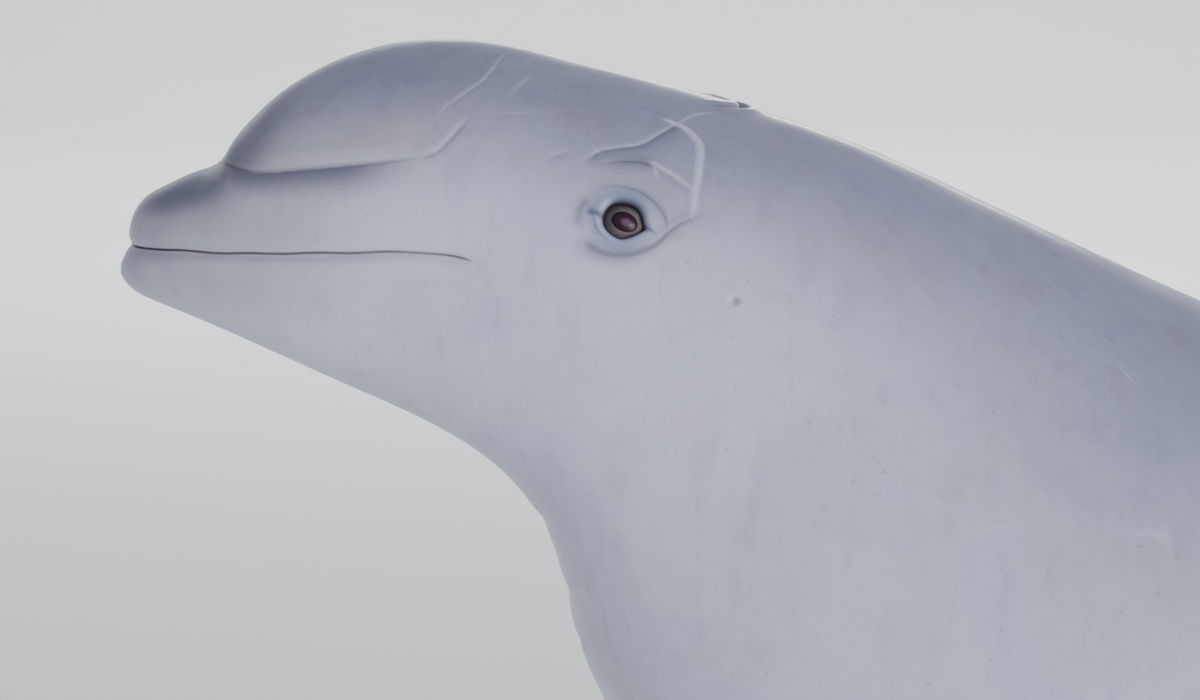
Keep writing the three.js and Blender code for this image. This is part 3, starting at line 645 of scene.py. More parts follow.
    def add_ridge(self):
        share = np.clip((self.at - RIDGE["start"]) / (RIDGE["end"] - RIDGE["start"]), 0, 1)
        lift = np.sin(np.pi * share) ** 0.9
        knobs = 1 + RIDGE["knob"] * np.sin(2 * np.pi * RIDGE["knobs"] * share)
        side = np.where(np.sin(self.angle) > 0, self.points[:, 1], FAR)
        self.height += RIDGE["high"] * lift * knobs * bell(side, RIDGE["spread"])

    def add_belly(self):
        """The slit and the navel."""
        side = np.where(np.sin(self.angle) < 0, self.points[:, 1], FAR)
        slit = ramp(self.at, *BELLY_SLIT["front"]) * (1 - ramp(self.at, *BELLY_SLIT["rear"]))
        groove = bell(side, BELLY_SLIT["spread"])
        lip = SLIT_LIP["high"] * bell(side - SLIT_LIP["at"], SLIT_LIP["spread"])
        self.height += slit * (lip - BELLY_SLIT["depth"] * groove)
        self.height -= NAVEL["depth"] * bell(np.hypot(side, self.at - NAVEL["at"]), NAVEL["spread"])
        # Painted shade in the slit
        self.tint("dark", BELLY_SLIT["dark"] * slit * groove)

    def add_lumps(self):
        """Soft unevenness of blubber, stronger on the body than on the head, and rolls low on the flank."""
        size = lerp(LUMPS["head"], LUMPS["body"], ramp(self.at, *LUMPS["front"]))
        size = size * (1 - ramp(self.at, *LUMPS["rear"]))
        lumps = np.zeros(len(self.at))
        rng = np.random.default_rng(LUMPS["seed"])
        for _ in range(LUMPS["waves"]):
            wave = rng.normal(size=3) * np.array([0.9, 1.0, 1.5]) * 2 * np.pi / LUMPS["length"]
            lumps += np.sin(self.points @ wave + rng.uniform(0, 2 * np.pi))
        self.height += size * lumps / np.sqrt(LUMPS["waves"])
        flank = bell(np.sin(self.angle) + ROLLS["low"], ROLLS["spread"]) * ramp(self.at, *ROLLS["front"])
        rolls = np.sin(self.at / 92 + 1.3 * np.sin(self.at / 260))
        self.height += ROLLS["high"] * flank * rolls * (1 - ramp(self.at, *ROLLS["rear"]))

    def add_all(self):
        parts = (self.add_mouth, self.add_melon, self.tint_head, self.add_eye, self.add_ear,
                 self.add_blowhole, self.add_throat, self.add_ridge, self.add_belly, self.add_lumps)
        for add in parts:
            add()
        for form in PATHS.values():
            self.add_path(side_path([*form.get("front", ()), *by_angle(form["path"])]), form)


def graded(places, lengths, spacing, count=None):
    """Places whose steps along the lengths are as long as the spacing asks."""
    middle = 0.5 * (spacing[1:] + spacing[:-1])
    total = np.concatenate([[0.0], np.cumsum(np.diff(lengths) / middle)])
    count = count or int(np.ceil(total[-1]))
    return np.interp(np.linspace(0, total[-1], count + 1), total, places)


def quarter(section, end, count, spacing):
    """Angles from the widest line to an end of a section, as close together as spacing asks."""
    angles = end * np.linspace(0, 1, 2500) ** 1.5
    lengths = along_lengths(plain_skin(section, angles))
    return graded(angles, lengths, spacing(lengths), count)


def ring_angles(section, spacing):
    """Angles all round a section, from the belly over the right side, the back and the left side."""
    upper = quarter(section, np.pi / 2, COLUMNS["upper"], spacing)
    lower = quarter(section, -np.pi / 2, COLUMNS["lower"], spacing)
    right = np.concatenate([lower[:0:-1], upper])
    return np.concatenate([right, np.pi - right[-2:0:-1]])


def head_spacing(length):
    return lerp(lerp(0.3, 0.8, ramp(length, 0, 9)), 2.0, ramp(length, 125, 200))


HEAD_ANGLES = ring_angles(HEAD_SECTION, head_spacing)
BODY_ANGLES = ring_angles(BODY_SECTION, np.ones_like)
FULL = len(HEAD_ANGLES)


def angles_at(at):
    return lerp(HEAD_ANGLES, BODY_ANGLES, ramp(at, 430, 1000))


def row_places():
    dense = TAIL_END * np.linspace(0, 1, 12001) ** 2
    points = plain_skin(dense[:, None], np.linspace(-np.pi / 2, np.pi / 2, 13))
    steps = np.linalg.norm(np.diff(points, axis=0), axis=-1).max(1)
    spacing = lerp(TIP_STEP, HEAD_STEP, ramp(dense, 0, 15))
    spacing = lerp(spacing, EYE_STEP, ramp(dense, 262, 276) * (1 - ramp(dense, 380, 396)))
    spacing = lerp(spacing, BODY_STEP, ramp(dense, 400, 1100))
    spacing = lerp(spacing, TAIL_STEP, ramp(dense, 3300, 3960))
    return graded(dense, np.concatenate([[0.0], np.cumsum(steps)]), spacing)


def stride_at(at):
    """How many of the full ring's columns a row steps over."""
    if at < 1.2:
        return 4
    return 1 if 8 <= at < 445 else 2


# The body's part of the map: places along the spine and their heights there, and a clear margin
MAP_AT = [0, 30, 430, 1000, TAIL_END + 40]
MAP_V = [0.0, 0.06, 0.43, 0.59, 0.855]
MAP_MARGIN = 0.002


def map_place(at, column):
    """Where a point of the skin lies on its map."""
    u = MAP_MARGIN + (1 - 2 * MAP_MARGIN) * column / FULL
    return np.stack(np.broadcast_arrays(u, MAP_MARGIN + np.interp(at, MAP_AT, MAP_V)), -1)


def closed(values):
    return np.concatenate([values, values[:1]])


class Net:
    """The skin's points and faces. A ring is its points' numbers and their places on the map, and its
    first point is repeated at its end."""

    def __init__(self):
        self.held = []
        self.count = 0
        self.faces = []

    def points(self, at, angle, keep=1.0, lift=0.0, margin=0.0):
        """Adds points of the plain skin: keep is the share of the folds that they take."""
        values = np.broadcast_arrays(*(np.asarray(v, float) for v in (at, angle, keep, lift, margin)))
        self.held.append(np.stack(values))
        first = self.count
        self.count += len(values[0])
        return np.arange(first, self.count)

    def values(self):
        """All points' places, angles, shares of the folds, lifts and margins."""
        return np.concatenate(self.held, axis=1)

    def add(self, *corners):
        """Adds faces: each corner is a ring and which of its points the faces take."""
        self.faces.append([np.stack([ring[part][i] for ring, i in corners], 1) for part in (0, 1)])

    def strip(self, one, other, keep=None):
        """Faces between a ring and the next, which may have twice or half as many points."""
        n, m = len(one[0]) - 1, len(other[0]) - 1
        j = np.arange(min(n, m)) if keep is None or n != m else keep
        k = 2 * j
        if n == m:
            self.add((one, j), (one, j + 1), (other, j + 1), (other, j))
        elif n > m:
            self.add((one, k), (one, k + 1), (other, j))
            self.add((one, k + 1), (one, k + 2), (other, j + 1))
            self.add((one, k + 1), (other, j + 1), (other, j))
        else:
            self.add((one, j), (one, j + 1), (other, k + 1))
            self.add((one, j), (other, k + 1), (other, k))
            self.add((one, j + 1), (other, k + 2), (other, k + 1))

    def extend(self, ring, numbers, places):
        """Joins a ring of points to another, and gives it back."""
        added = (closed(numbers), places)
        self.strip(ring, added)
        return added

    def fan(self, ring, point, place, first=False):
        """Faces from a ring to one point, which comes before the ring if first."""
        j = np.arange(len(ring[0]) - 1)
        tip = (np.full(len(j), point), np.tile(place, (len(j), 1)))
        if first:
            self.add((tip, j), (ring, j + 1), (ring, j))
        else:
            self.add((ring, j), (ring, j + 1), (tip, j))


def window(places, form, side):
    """Rows and columns of a window in the grid, on the right side (1) or the left (-1)."""
    rows = [int(np.abs(places - form[end]).argmin()) for end in ("start", "end")]
    middle = places[(rows[0] + rows[1]) // 2]
    stride = stride_at(middle)
    angles = angles_at(middle)[:FULL // 2 + 1]
    columns = [int(np.abs(angles - form[end]).argmin()) // stride * stride for end in ("low", "high")]
    if side < 0:
        columns = [FULL - columns[1], FULL - columns[0]]
    return {"rows": rows, "columns": [c // stride for c in columns], "side": side}


def grid(net, places, windows):
    """The rings from snout to tail, with windows left open."""
    rings = []
    for at in places[1:]:
        stride = stride_at(at)
        numbers = net.points(at, angles_at(at)[::stride])
        rings.append((closed(numbers), map_place(at, np.arange(0, FULL + 1, stride))))
    for i, (one, other) in enumerate(zip(rings, rings[1:])):
        open_columns = [w["columns"] for w in windows if w["rows"][0] <= i + 1 < w["rows"][1]]
        keep = np.arange(len(one[0]) - 1)
        for low, high in open_columns:
            keep = keep[(keep < low) | (keep >= high)]
        net.strip(one, other, keep)
    return rings


def window_loop(rings, opening):
    """The ring round a window: along its front edge first, in the way the angles grow."""
    (r0, r1), (c0, c1) = opening["rows"], opening["columns"]
    r0, r1 = r0 - 1, r1 - 1
    cells = [(r0, c) for c in range(c0, c1)] + [(r, c1) for r in range(r0, r1)]
    cells += [(r1, c) for c in range(c1, c0, -1)] + [(r, c0) for r in range(r1, r0, -1)]
    numbers, places = (closed(np.array([rings[r][part][c] for r, c in cells])) for part in (0, 1))
    return numbers, places, np.array(cells)


def skin_ends(net, rings, places):
    """The tip of the snout, and the rounded end between the flukes."""
    pole = net.points([0.0], [0.0], keep=0.0)[0]
    net.fan(rings[0], pole, map_place(0.0, FULL / 2), first=True)
    ring, at = rings[-1], places[-1]
    stride = stride_at(at)
    maps = map_place(at + 20, np.arange(0, FULL + 1, stride))
    for share in (0.75, 0.4):
        numbers = net.points(at, angles_at(at)[::stride], keep=share, lift=-5.0 * (1 - share))
        ring = net.extend(ring, numbers, maps)
    tip = net.points([at + 4.0], [0.0], keep=0.0, lift=-5.0)[0]
    net.fan(ring, tip, map_place(at + 40, FULL / 2))


def lids_opening(turn):
    """The edge of the lids, back and up from the eye's middle."""
    tall = np.where(turn > 0, LIDS["high"], -LIDS["low"])
    power = np.where(np.cos(turn) < 0, LIDS["front_power"], LIDS["rear_power"])
    return LIDS["long"] * np.cos(turn), tall * np.abs(np.sin(turn)) ** power


def lids(net, loop_at, loop_angle, ring, side):
    """Rings from the window round an eye to the lids' edge, and the pocket behind it."""
    x, y = eye_plane(plain_skin(loop_at, loop_angle))
    turn = np.arctan2(y / EYE_WINDOW["up"], x / EYE_WINDOW["along"])
    rim_x, rim_y = lids_opening(turn)
    rim_at, rim_angle = eye_places(rim_x, rim_y, side)
    gap = np.hypot(x - rim_x, y - rim_y)
    contact = ball_height(np.hypot(rim_x, rim_y)) + LIDS["clear"]
    # Painted shadow of the upper lid: a soft dark band along the lids' edge, wider and darker above the
    # eye, laid over their dark rim
    above = ramp(np.sin(turn), 0.1, 0.9)
    strength, spread = lerp(0.25, 0.9, above), lerp(1.8, 4.2, above)
    for share in (np.arange(LIDS["rings"] - 1, -1, -1) / LIDS["rings"]) ** 1.3:
        at = lerp(rim_at, loop_at, share)
        angle = lerp(rim_angle, loop_angle, share)
        near = np.clip(1 - gap * share / LIDS["edge"], 0, 1)
        drop = 1 - (1 - near ** LIDS["round"]) ** (1 / LIDS["round"])
        soft = strength * bell(gap * share, spread)
        margin = np.maximum(1 - ramp(gap * share, 0.4, 1.8), soft)
        numbers = net.points(at, angle, keep=1 - drop, lift=contact * drop, margin=margin)
        ring = net.extend(ring, numbers, closed(map_place(at, columns_of(angle))))
    pocket(net, ring, (rim_x, rim_y, turn, contact), side)


def pocket(net, ring, rim, side):
    """The closed pocket in which the front of the eyeball lies."""
    rim_x, rim_y, turn, contact = rim
    middle_map = ring[1][:-1].mean(0)
    wide = EYE["radius"] - POCKET_CLEAR
    for step, (roundness, size, deep) in enumerate(POCKET, 1):
        x = size * lerp(rim_x, wide * np.cos(turn), roundness)
        y = size * lerp(rim_y, wide * np.sin(turn), roundness)
        at, angle = eye_places(x, y, side)
        lift = lerp(contact, contact.min(), roundness) - deep
        # The pocket is painted fully dark, as shade in the hollow
        numbers = net.points(at, angle, keep=0.0, lift=lift, margin=1.0)
        ring = net.extend(ring, numbers, lerp(ring[1], middle_map, 1 / (len(POCKET) + 2 - step)))
    at, angle = eye_places(np.zeros(1), np.zeros(1), side)
    bottom = net.points(at, angle, keep=0.0, lift=contact.min() - POCKET_BOTTOM, margin=1.0)[0]
    net.fan(ring, bottom, middle_map)


def eye_places(x, y, side):
    """Places on the plain skin at distances back and up from an eye's middle."""
    back, around, _ = plain_ways(EYE["at"], RIGHT_EYE["angle"])
    away = x[:, None] * RIGHT_EYE["back"] + y[:, None] * RIGHT_EYE["up"]
    ways = np.stack([back, around], 1)
    at, angle = np.linalg.lstsq(ways, away.T, rcond=None)[0]
    angle = RIGHT_EYE["angle"] + angle
    return EYE["at"] + at, angle if side > 0 else np.pi - angle


def columns_of(angle):
    """Places of angles among the head's columns."""
    return np.interp(angle, HEAD_ANGLES, np.arange(FULL))


def flipper_points(side, around, t):
    """Points of a flipper: around its section and out from its root, where t is 0, to its tip at 1."""
    root = plain_skin(FLIPPER["at"], FLIPPER["below"]) * np.array([1, side, 1])
    back, up = spine_ways(FLIPPER["at"])
    out = unit(np.array(FLIPPER["out"]) @ np.stack([[0, side, 0], back, up]))
    forward = unit(-back + out * (back @ out))
    across = np.cross(forward, out) * -side
    u = np.maximum(t, 0)
    swell = FLIPPER["swell"] * np.sin(0.9 * np.pi * u ** 0.9)
    half = 0.5 * (FLIPPER["root"] + swell) * np.sqrt(1 - np.minimum(u, 1) ** 3.8)
    thick = lerp(FLIPPER["thick"], FLIPPER["tip_thick"], u ** 0.7) * np.sqrt(1 - 0.85 * u ** 8)
    ahead = half * np.cos(around) - FLIPPER["sweep"] * u * u
    rise = fin_rise(around, thick) + FLIPPER["curl"] * u ** 2.5
    parts = ((FLIPPER["length"] * t, out), (ahead, forward), (rise, across))
    return root + sum(np.multiply.outer(length, way) for length, way in parts)


def chord_share(around):
    return 0.5 - 0.5 * np.cos(around)


def fin_rise(around, thick):
    """Height of a fin's surface over its middle plane: thinner towards the trailing edge."""
    taper = 1 - FIN_SECTION["taper"] * chord_share(around)
    return FIN_SECTION["height"] * thick * np.sin(around) * taper


def fluke_points(side, around, t):
    """Points of half of the flukes: around its section and out from the middle to its tip."""
    u = np.clip(t, 0, 1)
    blunt = np.sqrt(1 - u ** 8)
    lead = FLUKE["lead_root"] + FLUKE["lead_sweep"] * lerp(u, u ** 2.5, FLUKE["lead_curl"])
    lobe = FLUKE["lobe"] * np.sin(np.pi * u ** 0.75) * (1 - 0.25 * u)
    trail = FLUKE["notch"] + lobe - FLUKE["tip_draw"] * u
    middle = (lead + trail) / 2
    half = (trail - lead) / 2 * blunt
    height = wide_line(FLUKE["lead_root"]) - FLUKE["droop"] * u * u
    thick = lerp(FLUKE["thick"], FLUKE["tip_thick"], u ** 0.6) * blunt
    out = side * FLUKE["span"] * u
    front, rear = (place(edge, out, height) for edge in (middle - half, middle + half))
    points = lerp(front, rear, chord_share(around)[..., None])
    return points + spine_ways(middle)[1] * fin_rise(around, thick)[..., None]


FINS = (
    {"points": flipper_points, "window": FLIPPER_WINDOW, "clear": 24, "rows": 70},
    {"points": fluke_points, "window": FLUKE_WINDOW, "clear": 16, "rows": 80},
)


def outside(points):
    """How far points lie outside the body, roughly."""
    centres = place(SPINE, 0.0, 0.0)
    step = 8
    flat = points.reshape(-1, 3)
    nearest = np.array([np.linalg.norm(centres[::step] - p, axis=1).argmin() * step for p in flat])
    at = SPINE[nearest]
    back, up = spine_ways(at)
    away = flat - centres[nearest]
    at = np.clip(at + (away * back).sum(1), 1, TAIL_END)
    rise = (away * up).sum(1) - wide_line(at)
    side, upper = flat[:, 1], rise > 0
    power = fullness(at, upper)
    share = np.abs(side / half_width(at)) ** power + np.abs(rise / reach(at, upper)) ** power
    size = np.hypot(side, rise)
    return (size * (1 - share ** (-1 / power))).reshape(points.shape[:-1])


def leaving(form, side, around):
    """How far out each line of a fin is when it is clear of the body."""
    tries = np.linspace(-0.2, 0.8, 161)
    points = form["points"](side, *np.broadcast_arrays(around[:, None], tries))
    first = tries[(outside(points) > form["clear"]).argmax(1)]
    for _ in range(30):
        first = 0.25 * np.roll(first, 1) + 0.5 * first + 0.25 * np.roll(first, -1)
    return first


def fin_rings(form, opening, cells, border, out):
    """Rings of a fin's points from the window in the body to its tip: a fillet and then the fin."""
    fin, side = form["points"], opening["side"]
    (r0, r1), (c0, c1) = opening["rows"], opening["columns"]
    along = (cells[:, 0] - (r0 + r1 - 2) / 2) / ((r1 - r0) / 2)
    up = side * (cells[:, 1] - (c0 + c1) / 2) / ((c1 - c0) / 2)
    around = np.unwrap(np.arctan2(up, -along))
    even = around[0] + np.sign(around[-1] - around[0]) * 2 * np.pi * np.arange(len(around)) / len(around)
    start = leaving(form, side, around)
    first = fin(side, around, start)
    gap = first - border
    size = np.linalg.norm(gap, axis=1, keepdims=True)
    flat = unit(gap - out * (gap * out).sum(1, keepdims=True))
    step = size / (FILLET_ROWS + 1)
    near = 0.01
    ahead = unit(fin(side, around, start + near) - first)
    fillet = smooth_rings([border - flat * step, border], [first, first + ahead * step], FILLET_ROWS)
    shares = 1 - (1 - np.linspace(0, 1, form["rows"])) ** 1.5
    tips = [fin(side, lerp(around, even, ramp(s, 0, 0.4)), lerp(start, 0.9985, s)) for s in shares]
    return np.concatenate([fillet, tips])


def smooth_rings(before, after, count):
    """Rings of points between two pairs of rings, which bend as little as possible."""
    fixed = np.fft.fft(np.array([*before, *after]), axis=1)
    points = fixed.shape[1]
    bend = 2 - 2 * np.cos(2 * np.pi * np.arange(points) / points)
    weights = {0: 6 + 4 * bend + bend ** 2, 1: -4 - 2 * bend, 2: np.ones(points)}
    known = {-2: fixed[0], -1: fixed[1], count: fixed[2], count + 1: fixed[3]}
    matrix = np.zeros((points, count, count), complex)
    right = np.zeros((points, count, 3), complex)
    for row in range(count):
        for offset in range(-2, 3):
            weight = weights[abs(offset)]
            if row + offset in known:
                right[:, row] -= weight[:, None] * known[row + offset]
            else:
                matrix[:, row, row + offset] = weight
    solved = np.linalg.solve(matrix, right)
    return np.fft.ifft(solved, axis=0).real.transpose(1, 0, 2)


def fin_faces(net, opening_ring, rings, island):
    """Joins a fin's rings to the window's, on their own part of the map."""
    count = rings.shape[1]
    first = net.count
    net.count += rings.shape[0] * count
    u = 0.01 + 0.25 * island + 0.23 * np.arange(count + 1) / count

    def maps(row):
        v = 0.87 + 0.125 * row / rings.shape[0]
        return np.stack([u, np.full(count + 1, v)], -1)

    ring = (opening_ring[0], maps(0))
    for row in range(rings.shape[0]):
        ring = net.extend(ring, first + row * count + np.arange(count), maps(row + 1))
    net.fan(ring, net.count, maps(rings.shape[0])[count // 2])
    net.count += 1


def eye_window():
    """Where the window round an eye lies."""
    low, high = (angle_of(EYE["at"], EYE["height"] + up) for up in (-EYE_WINDOW["up"], EYE_WINDOW["up"]))
    start, end = EYE["at"] - EYE_WINDOW["along"], EYE["at"] + EYE_WINDOW["along"]
    return {"start": start, "end": end, "low": low, "high": high}


def skin_net():
    """The net of the whole body, with its lids and its open windows for the fins."""
    places = row_places()
    net = Net()
    eyes = [window(places, eye_window(), side) for side in (1, -1)]
    fins = [(form, window(places, form["window"], side)) for form in FINS for side in (1, -1)]
    rings = grid(net, places, eyes + [opening for _, opening in fins])
    skin_ends(net, rings, places)
    for opening in eyes:
        numbers, maps, _ = window_loop(rings, opening)
        at, angle = net.values()[:2, numbers[:-1]]
        lids(net, at, angle, (numbers, maps), opening["side"])
    return net, rings, fins


def skin_points(net, rings):
    """The net's points with their folds, the ways out, and the masks of the skin's colours."""
    at, angle, keep, lift, margin = net.values()
    flat = plain_skin(at, angle)
    out = plain_ways(at, angle)[2]
    relief = Relief(at, angle, flat)
    relief.add_all()
    points = flat + out * (keep * relief.height + lift)[:, None]
    mouth = COLUMNS["lower"] * (len(rings[0][0]) - 1) // FULL
    on_mouth = rings[0][0][[mouth, -1 - mouth]]
    pole = rings[-1][0].max() + 1
    points[pole] = points[on_mouth].mean(0)
    # Painted shade on the top: the more the skin faces up, the darker and bluer it is painted
    upper = ramp(out[:, 2], 0.0, 0.95)
    held, nothing = relief.masks, np.zeros(len(at))
    masks = {
        "marks": np.stack([held["dark"], held["pale"], held["warm"]], -1),
        "tones": np.stack([upper, margin, nothing], -1),
        "veils": np.stack([held["shade"], held["lids"], nothing], -1),
    }
    return points, out, masks


def fin_masks(border, rings, around_share):
    """A fin's masks: its border's values fade out, and its edges grow darker towards the tip."""
    count = len(rings)
    far = np.linspace(0, 1, count)[:, None]
    inner = 1 - ramp(far, 0, 0.3)[..., None]
    made = {name: inner * values[None] for name, values in border.items()}
    # The fins take half of the painted shade of the top
    made["tones"][..., 0] += (1 - inner[..., 0]) * 0.5
    made["tones"][..., 2] = ramp(far, 0.1, 0.9) * around_share
    return {name: np.concatenate([v.reshape(-1, 3), v[-1, :1]]) for name, v in made.items()}


def skin_mesh():
    """The skin's net, its points in millimetres and its masks, with the fins joined on."""
    net, rings, fins = skin_net()
    points, out, masks = skin_points(net, rings)
    for island, (form, opening) in enumerate(fins):
        numbers, maps, cells = window_loop(rings, opening)
        loop = numbers[:-1]
        made = fin_rings(form, opening, cells, points[loop], out[loop])
        fin_faces(net, (numbers, maps), made, island)
        edge = np.abs(np.linspace(-1, 1, len(loop))) ** 6
        added = fin_masks({name: v[loop] for name, v in masks.items()}, made, edge)
        points = np.concatenate([points, made.reshape(-1, 3), made[-1].mean(0)[None]])
        masks = {name: np.concatenate([v, added[name]]) for name, v in masks.items()}
    return net, points, masks


def mesh_object(name, points, faces, places=None):
    """A smooth mesh from points in metres and arrays of faces, with its map if it has one."""
    mesh = bpy.data.meshes.new(name)
    sizes = np.concatenate([np.full(len(f), f.shape[1]) for f in faces])
    corners = np.concatenate([f.ravel() for f in faces])
    mesh.vertices.add(len(points))
    mesh.vertices.foreach_set("co", points.astype(np.float32).ravel())
    mesh.loops.add(len(corners))
    mesh.loops.foreach_set("vertex_index", corners.astype(np.int32))
    mesh.polygons.add(len(sizes))
    starts = np.concatenate([[0], np.cumsum(sizes)[:-1]])
    mesh.polygons.foreach_set("loop_start", starts.astype(np.int32))
    mesh.update(calc_edges=True)
    mesh.validate()
    mesh.polygons.foreach_set("use_smooth", np.ones(len(sizes), bool))
    if places is not None:
        layer = mesh.uv_layers.new(name="OFBake")
        spots = np.concatenate([p.reshape(-1, 2) for p in places])
        layer.uv.foreach_set("vector", spots.astype(np.float32).ravel())
    thing = bpy.data.objects.new(name, mesh)
    bpy.context.scene.collection.objects.link(thing)
    return thing


def vector_attribute(mesh, name, values):
    layer = mesh.attributes.new(name, "FLOAT_VECTOR", "POINT")
    layer.data.foreach_set("vector", values.astype(np.float32).ravel())


def whale_skin():
    net, points, masks = skin_mesh()
    faces = [f for f, _ in net.faces]
    skin = mesh_object("whale_skin", points * MM, faces, [p for _, p in net.faces])
    for name, values in masks.items():
        vector_attribute(skin.data, name, values)
    return skin


def lathe(radius, height, count):
    """Rings of points round an axis, their numbers, the next point's numbers and the faces between."""
    turn = 2 * np.pi * np.arange(count) / count
    radius, height = radius[:, None], height[:, None]
    rings = np.broadcast_arrays(radius * np.cos(turn), radius * np.sin(turn), height)
    number = np.arange(rings[0].size).reshape(-1, count)
    after = np.roll(number, -1, axis=1)
    quads = np.stack([number[:-1], after[:-1], after[1:], number[1:]], -1).reshape(-1, 4)
    return np.stack(rings, -1).reshape(-1, 3), number, after, quads


def cap(ring, after, tip):
    return np.stack([ring, after, np.full(len(ring), tip)], -1)


def eyeball(side):
    """The front of an eyeball with its bulging cornea."""
    tilt = EYE["half_angle"] * np.linspace(1, 0, EYE_ROWS + 1)[:-1]
    radius = EYE["radius"] * np.sin(tilt)
    inside = np.clip(1 - (radius / CORNEA["radius"]) ** 2, 0, 1)
    high = EYE["radius"] * np.cos(tilt) - EYE["sunk"] + CORNEA["bulge"] * inside ** 0.8
    rings, number, after, quads = lathe(radius, high, EYE_COLUMNS)
    top = EYE["radius"] - EYE["sunk"] + CORNEA["bulge"]
    local = np.concatenate([rings, [[0, 0, top], [0, 0, high[0]]]])
    faces = [quads, cap(number[-1], after[-1], len(rings)), cap(after[0], number[0], len(rings) + 1)]
    ways = np.stack([RIGHT_EYE["back"], RIGHT_EYE["up"], RIGHT_EYE["out"]])
    if np.linalg.det(ways) * side < 0:
        faces = [f[:, ::-1] for f in faces]
    points = (local @ ways + RIGHT_EYE["point"]) * np.array([1, side, 1])
    eye = mesh_object("eyeball_right" if side > 0 else "eyeball_left", points * MM, faces)
    gaze = (local - [IRIS["back"], IRIS["up"], 0]) / [IRIS["long"], IRIS["high"], 1]
    vector_attribute(eye.data, "gaze", gaze)
    return eye


# Materials


class Nodes:
    """A material's node tree, built up by short calls that give back a node's output."""

    def __init__(self, name):
        self.material = bpy.data.materials.new(name)
        self.material.use_nodes = True
        self.tree = self.material.node_tree
        self.shader = self.tree.nodes["Principled BSDF"]

    def node(self, kind, inputs=None, **settings):
        made = self.tree.nodes.new(kind)
        for name, value in settings.items():
            setattr(made, name, value)
        for name, value in (inputs or {}).items():
            self.set(made.inputs[name], value)
        return made

    def set(self, socket, value):
        if isinstance(value, bpy.types.NodeSocket):
            self.tree.links.new(value, socket)
        else:
            socket.default_value = value

    def base(self, **values):
        for name, value in values.items():
            self.set(self.shader.inputs[name.replace("_", " ")], value)

    def attribute(self, name):
        made = self.node("ShaderNodeAttribute", attribute_name=name)
        split = self.node("ShaderNodeSeparateXYZ", {"Vector": made.outputs["Vector"]})
        return split.outputs["X"], split.outputs["Y"], split.outputs["Z"]

    def object_place(self):
        return self.node("ShaderNodeTexCoord").outputs["Object"]

    def mapped(self, **inputs):
        """The object's own coordinates, stretched or turned."""
        return self.node("ShaderNodeMapping", {"Vector": self.object_place(), **inputs}).outputs["Vector"]

    def noise(self, scale, detail=3.0, place=None, roughness=0.5, distortion=0.0):
        inputs = {"Vector": place or self.object_place(), "Scale": scale, "Detail": detail,
                  "Roughness": roughness, "Distortion": distortion}
        return self.node("ShaderNodeTexNoise", inputs).outputs["Fac"]

    def math(self, operation, one, other=0.0, clamp=False):
        made = self.node("ShaderNodeMath", operation=operation, use_clamp=clamp)
        self.set(made.inputs[0], one)
        self.set(made.inputs[1], other)
        return made.outputs[0]

    def span(self, value, low, high, to_low=0.0, to_high=1.0):
        inputs = {"Value": value, "From Min": low, "From Max": high, "To Min": to_low, "To Max": to_high}
        return self.node("ShaderNodeMapRange", inputs, interpolation_type="SMOOTHSTEP").outputs["Result"]

    def mix(self, share, one, other, blend="MIX"):
        made = self.node("ShaderNodeMix", data_type="RGBA", blend_type=blend)
        self.set(made.inputs["Factor"], share)
        self.set(made.inputs["A"], one)
        self.set(made.inputs["B"], other)
        return made.outputs["Result"]

    def bump(self, height, strength, distance, normal=None):
        inputs = {"Height": height, "Strength": strength, "Distance": distance}
        if normal is not None:
            inputs["Normal"] = normal
        return self.node("ShaderNodeBump", inputs).outputs["Normal"]

    def squares(self, x, y):
        return self.math("ADD", self.math("MULTIPLY", x, x), self.math("MULTIPLY", y, y))

    def layer(self, tone, mask, strength, tint, blend="MIX"):
        """A tone with a tint laid over it where a mask is."""
        return self.mix(self.math("MULTIPLY", mask, strength), tone, tint, blend)


def colour(red, green, blue):
    """A colour given as sRGB from 0 to 255."""
    def linear(value):
        value = value / 255
        return value / 12.92 if value <= 0.04045 else ((value + 0.055) / 1.055) ** 2.4
    return (linear(red), linear(green), linear(blue), 1.0)


def skin_material():
    n = Nodes("beluga_skin")
    dark, pale, warm = n.attribute("marks")
    upper, margin, fin = n.attribute("tones")
    shade, lid, _ = n.attribute("veils")
    # Painted shade on the top: the upward-facing skin is painted darker and bluer
    tone = n.mix(upper, colour(208, 210, 227), colour(140, 144, 169))
    # Laid over in turn: the lids' bluish tint; warm tints, the skin's own at the lips and mouth and a
    # painted pool of reflected light on the melon; broad painted shade; pale scars with painted highlights
    # on the folds and the cheek; scratches; painted shade in creases and hollows, with the mouth's brownish
    # line; the dark lid rims with the painted shadow of the upper lid; the fins' darker edges
    layers = (
        (lid, 0.75, (142, 156, 192)), (warm, 0.75, (196, 184, 182)), (shade, 0.85, (86, 90, 112)),
        (broken(n, pale), 0.65, (218, 222, 243)), (scratches(n), 0.3, (218, 222, 236)),
        (dark, 0.8, (84, 66, 70)), (margin, 1.0, (52, 45, 52)), (fin, 0.4, (120, 118, 128)),
    )
    tone = mottled(n, tone)
    for mask, strength, tint in layers:
        tone = n.layer(tone, mask, strength, colour(*tint))
    rough = n.span(n.noise(30.0, 4.0), 0.3, 0.7, 0.38, 0.54)
    n.base(Base_Color=tone, Normal=skin_bump(n), Roughness=rough)
    n.base(IOR=1.4, Coat_Weight=0.3, Coat_Roughness=0.16, Coat_IOR=1.33)
    return n.material


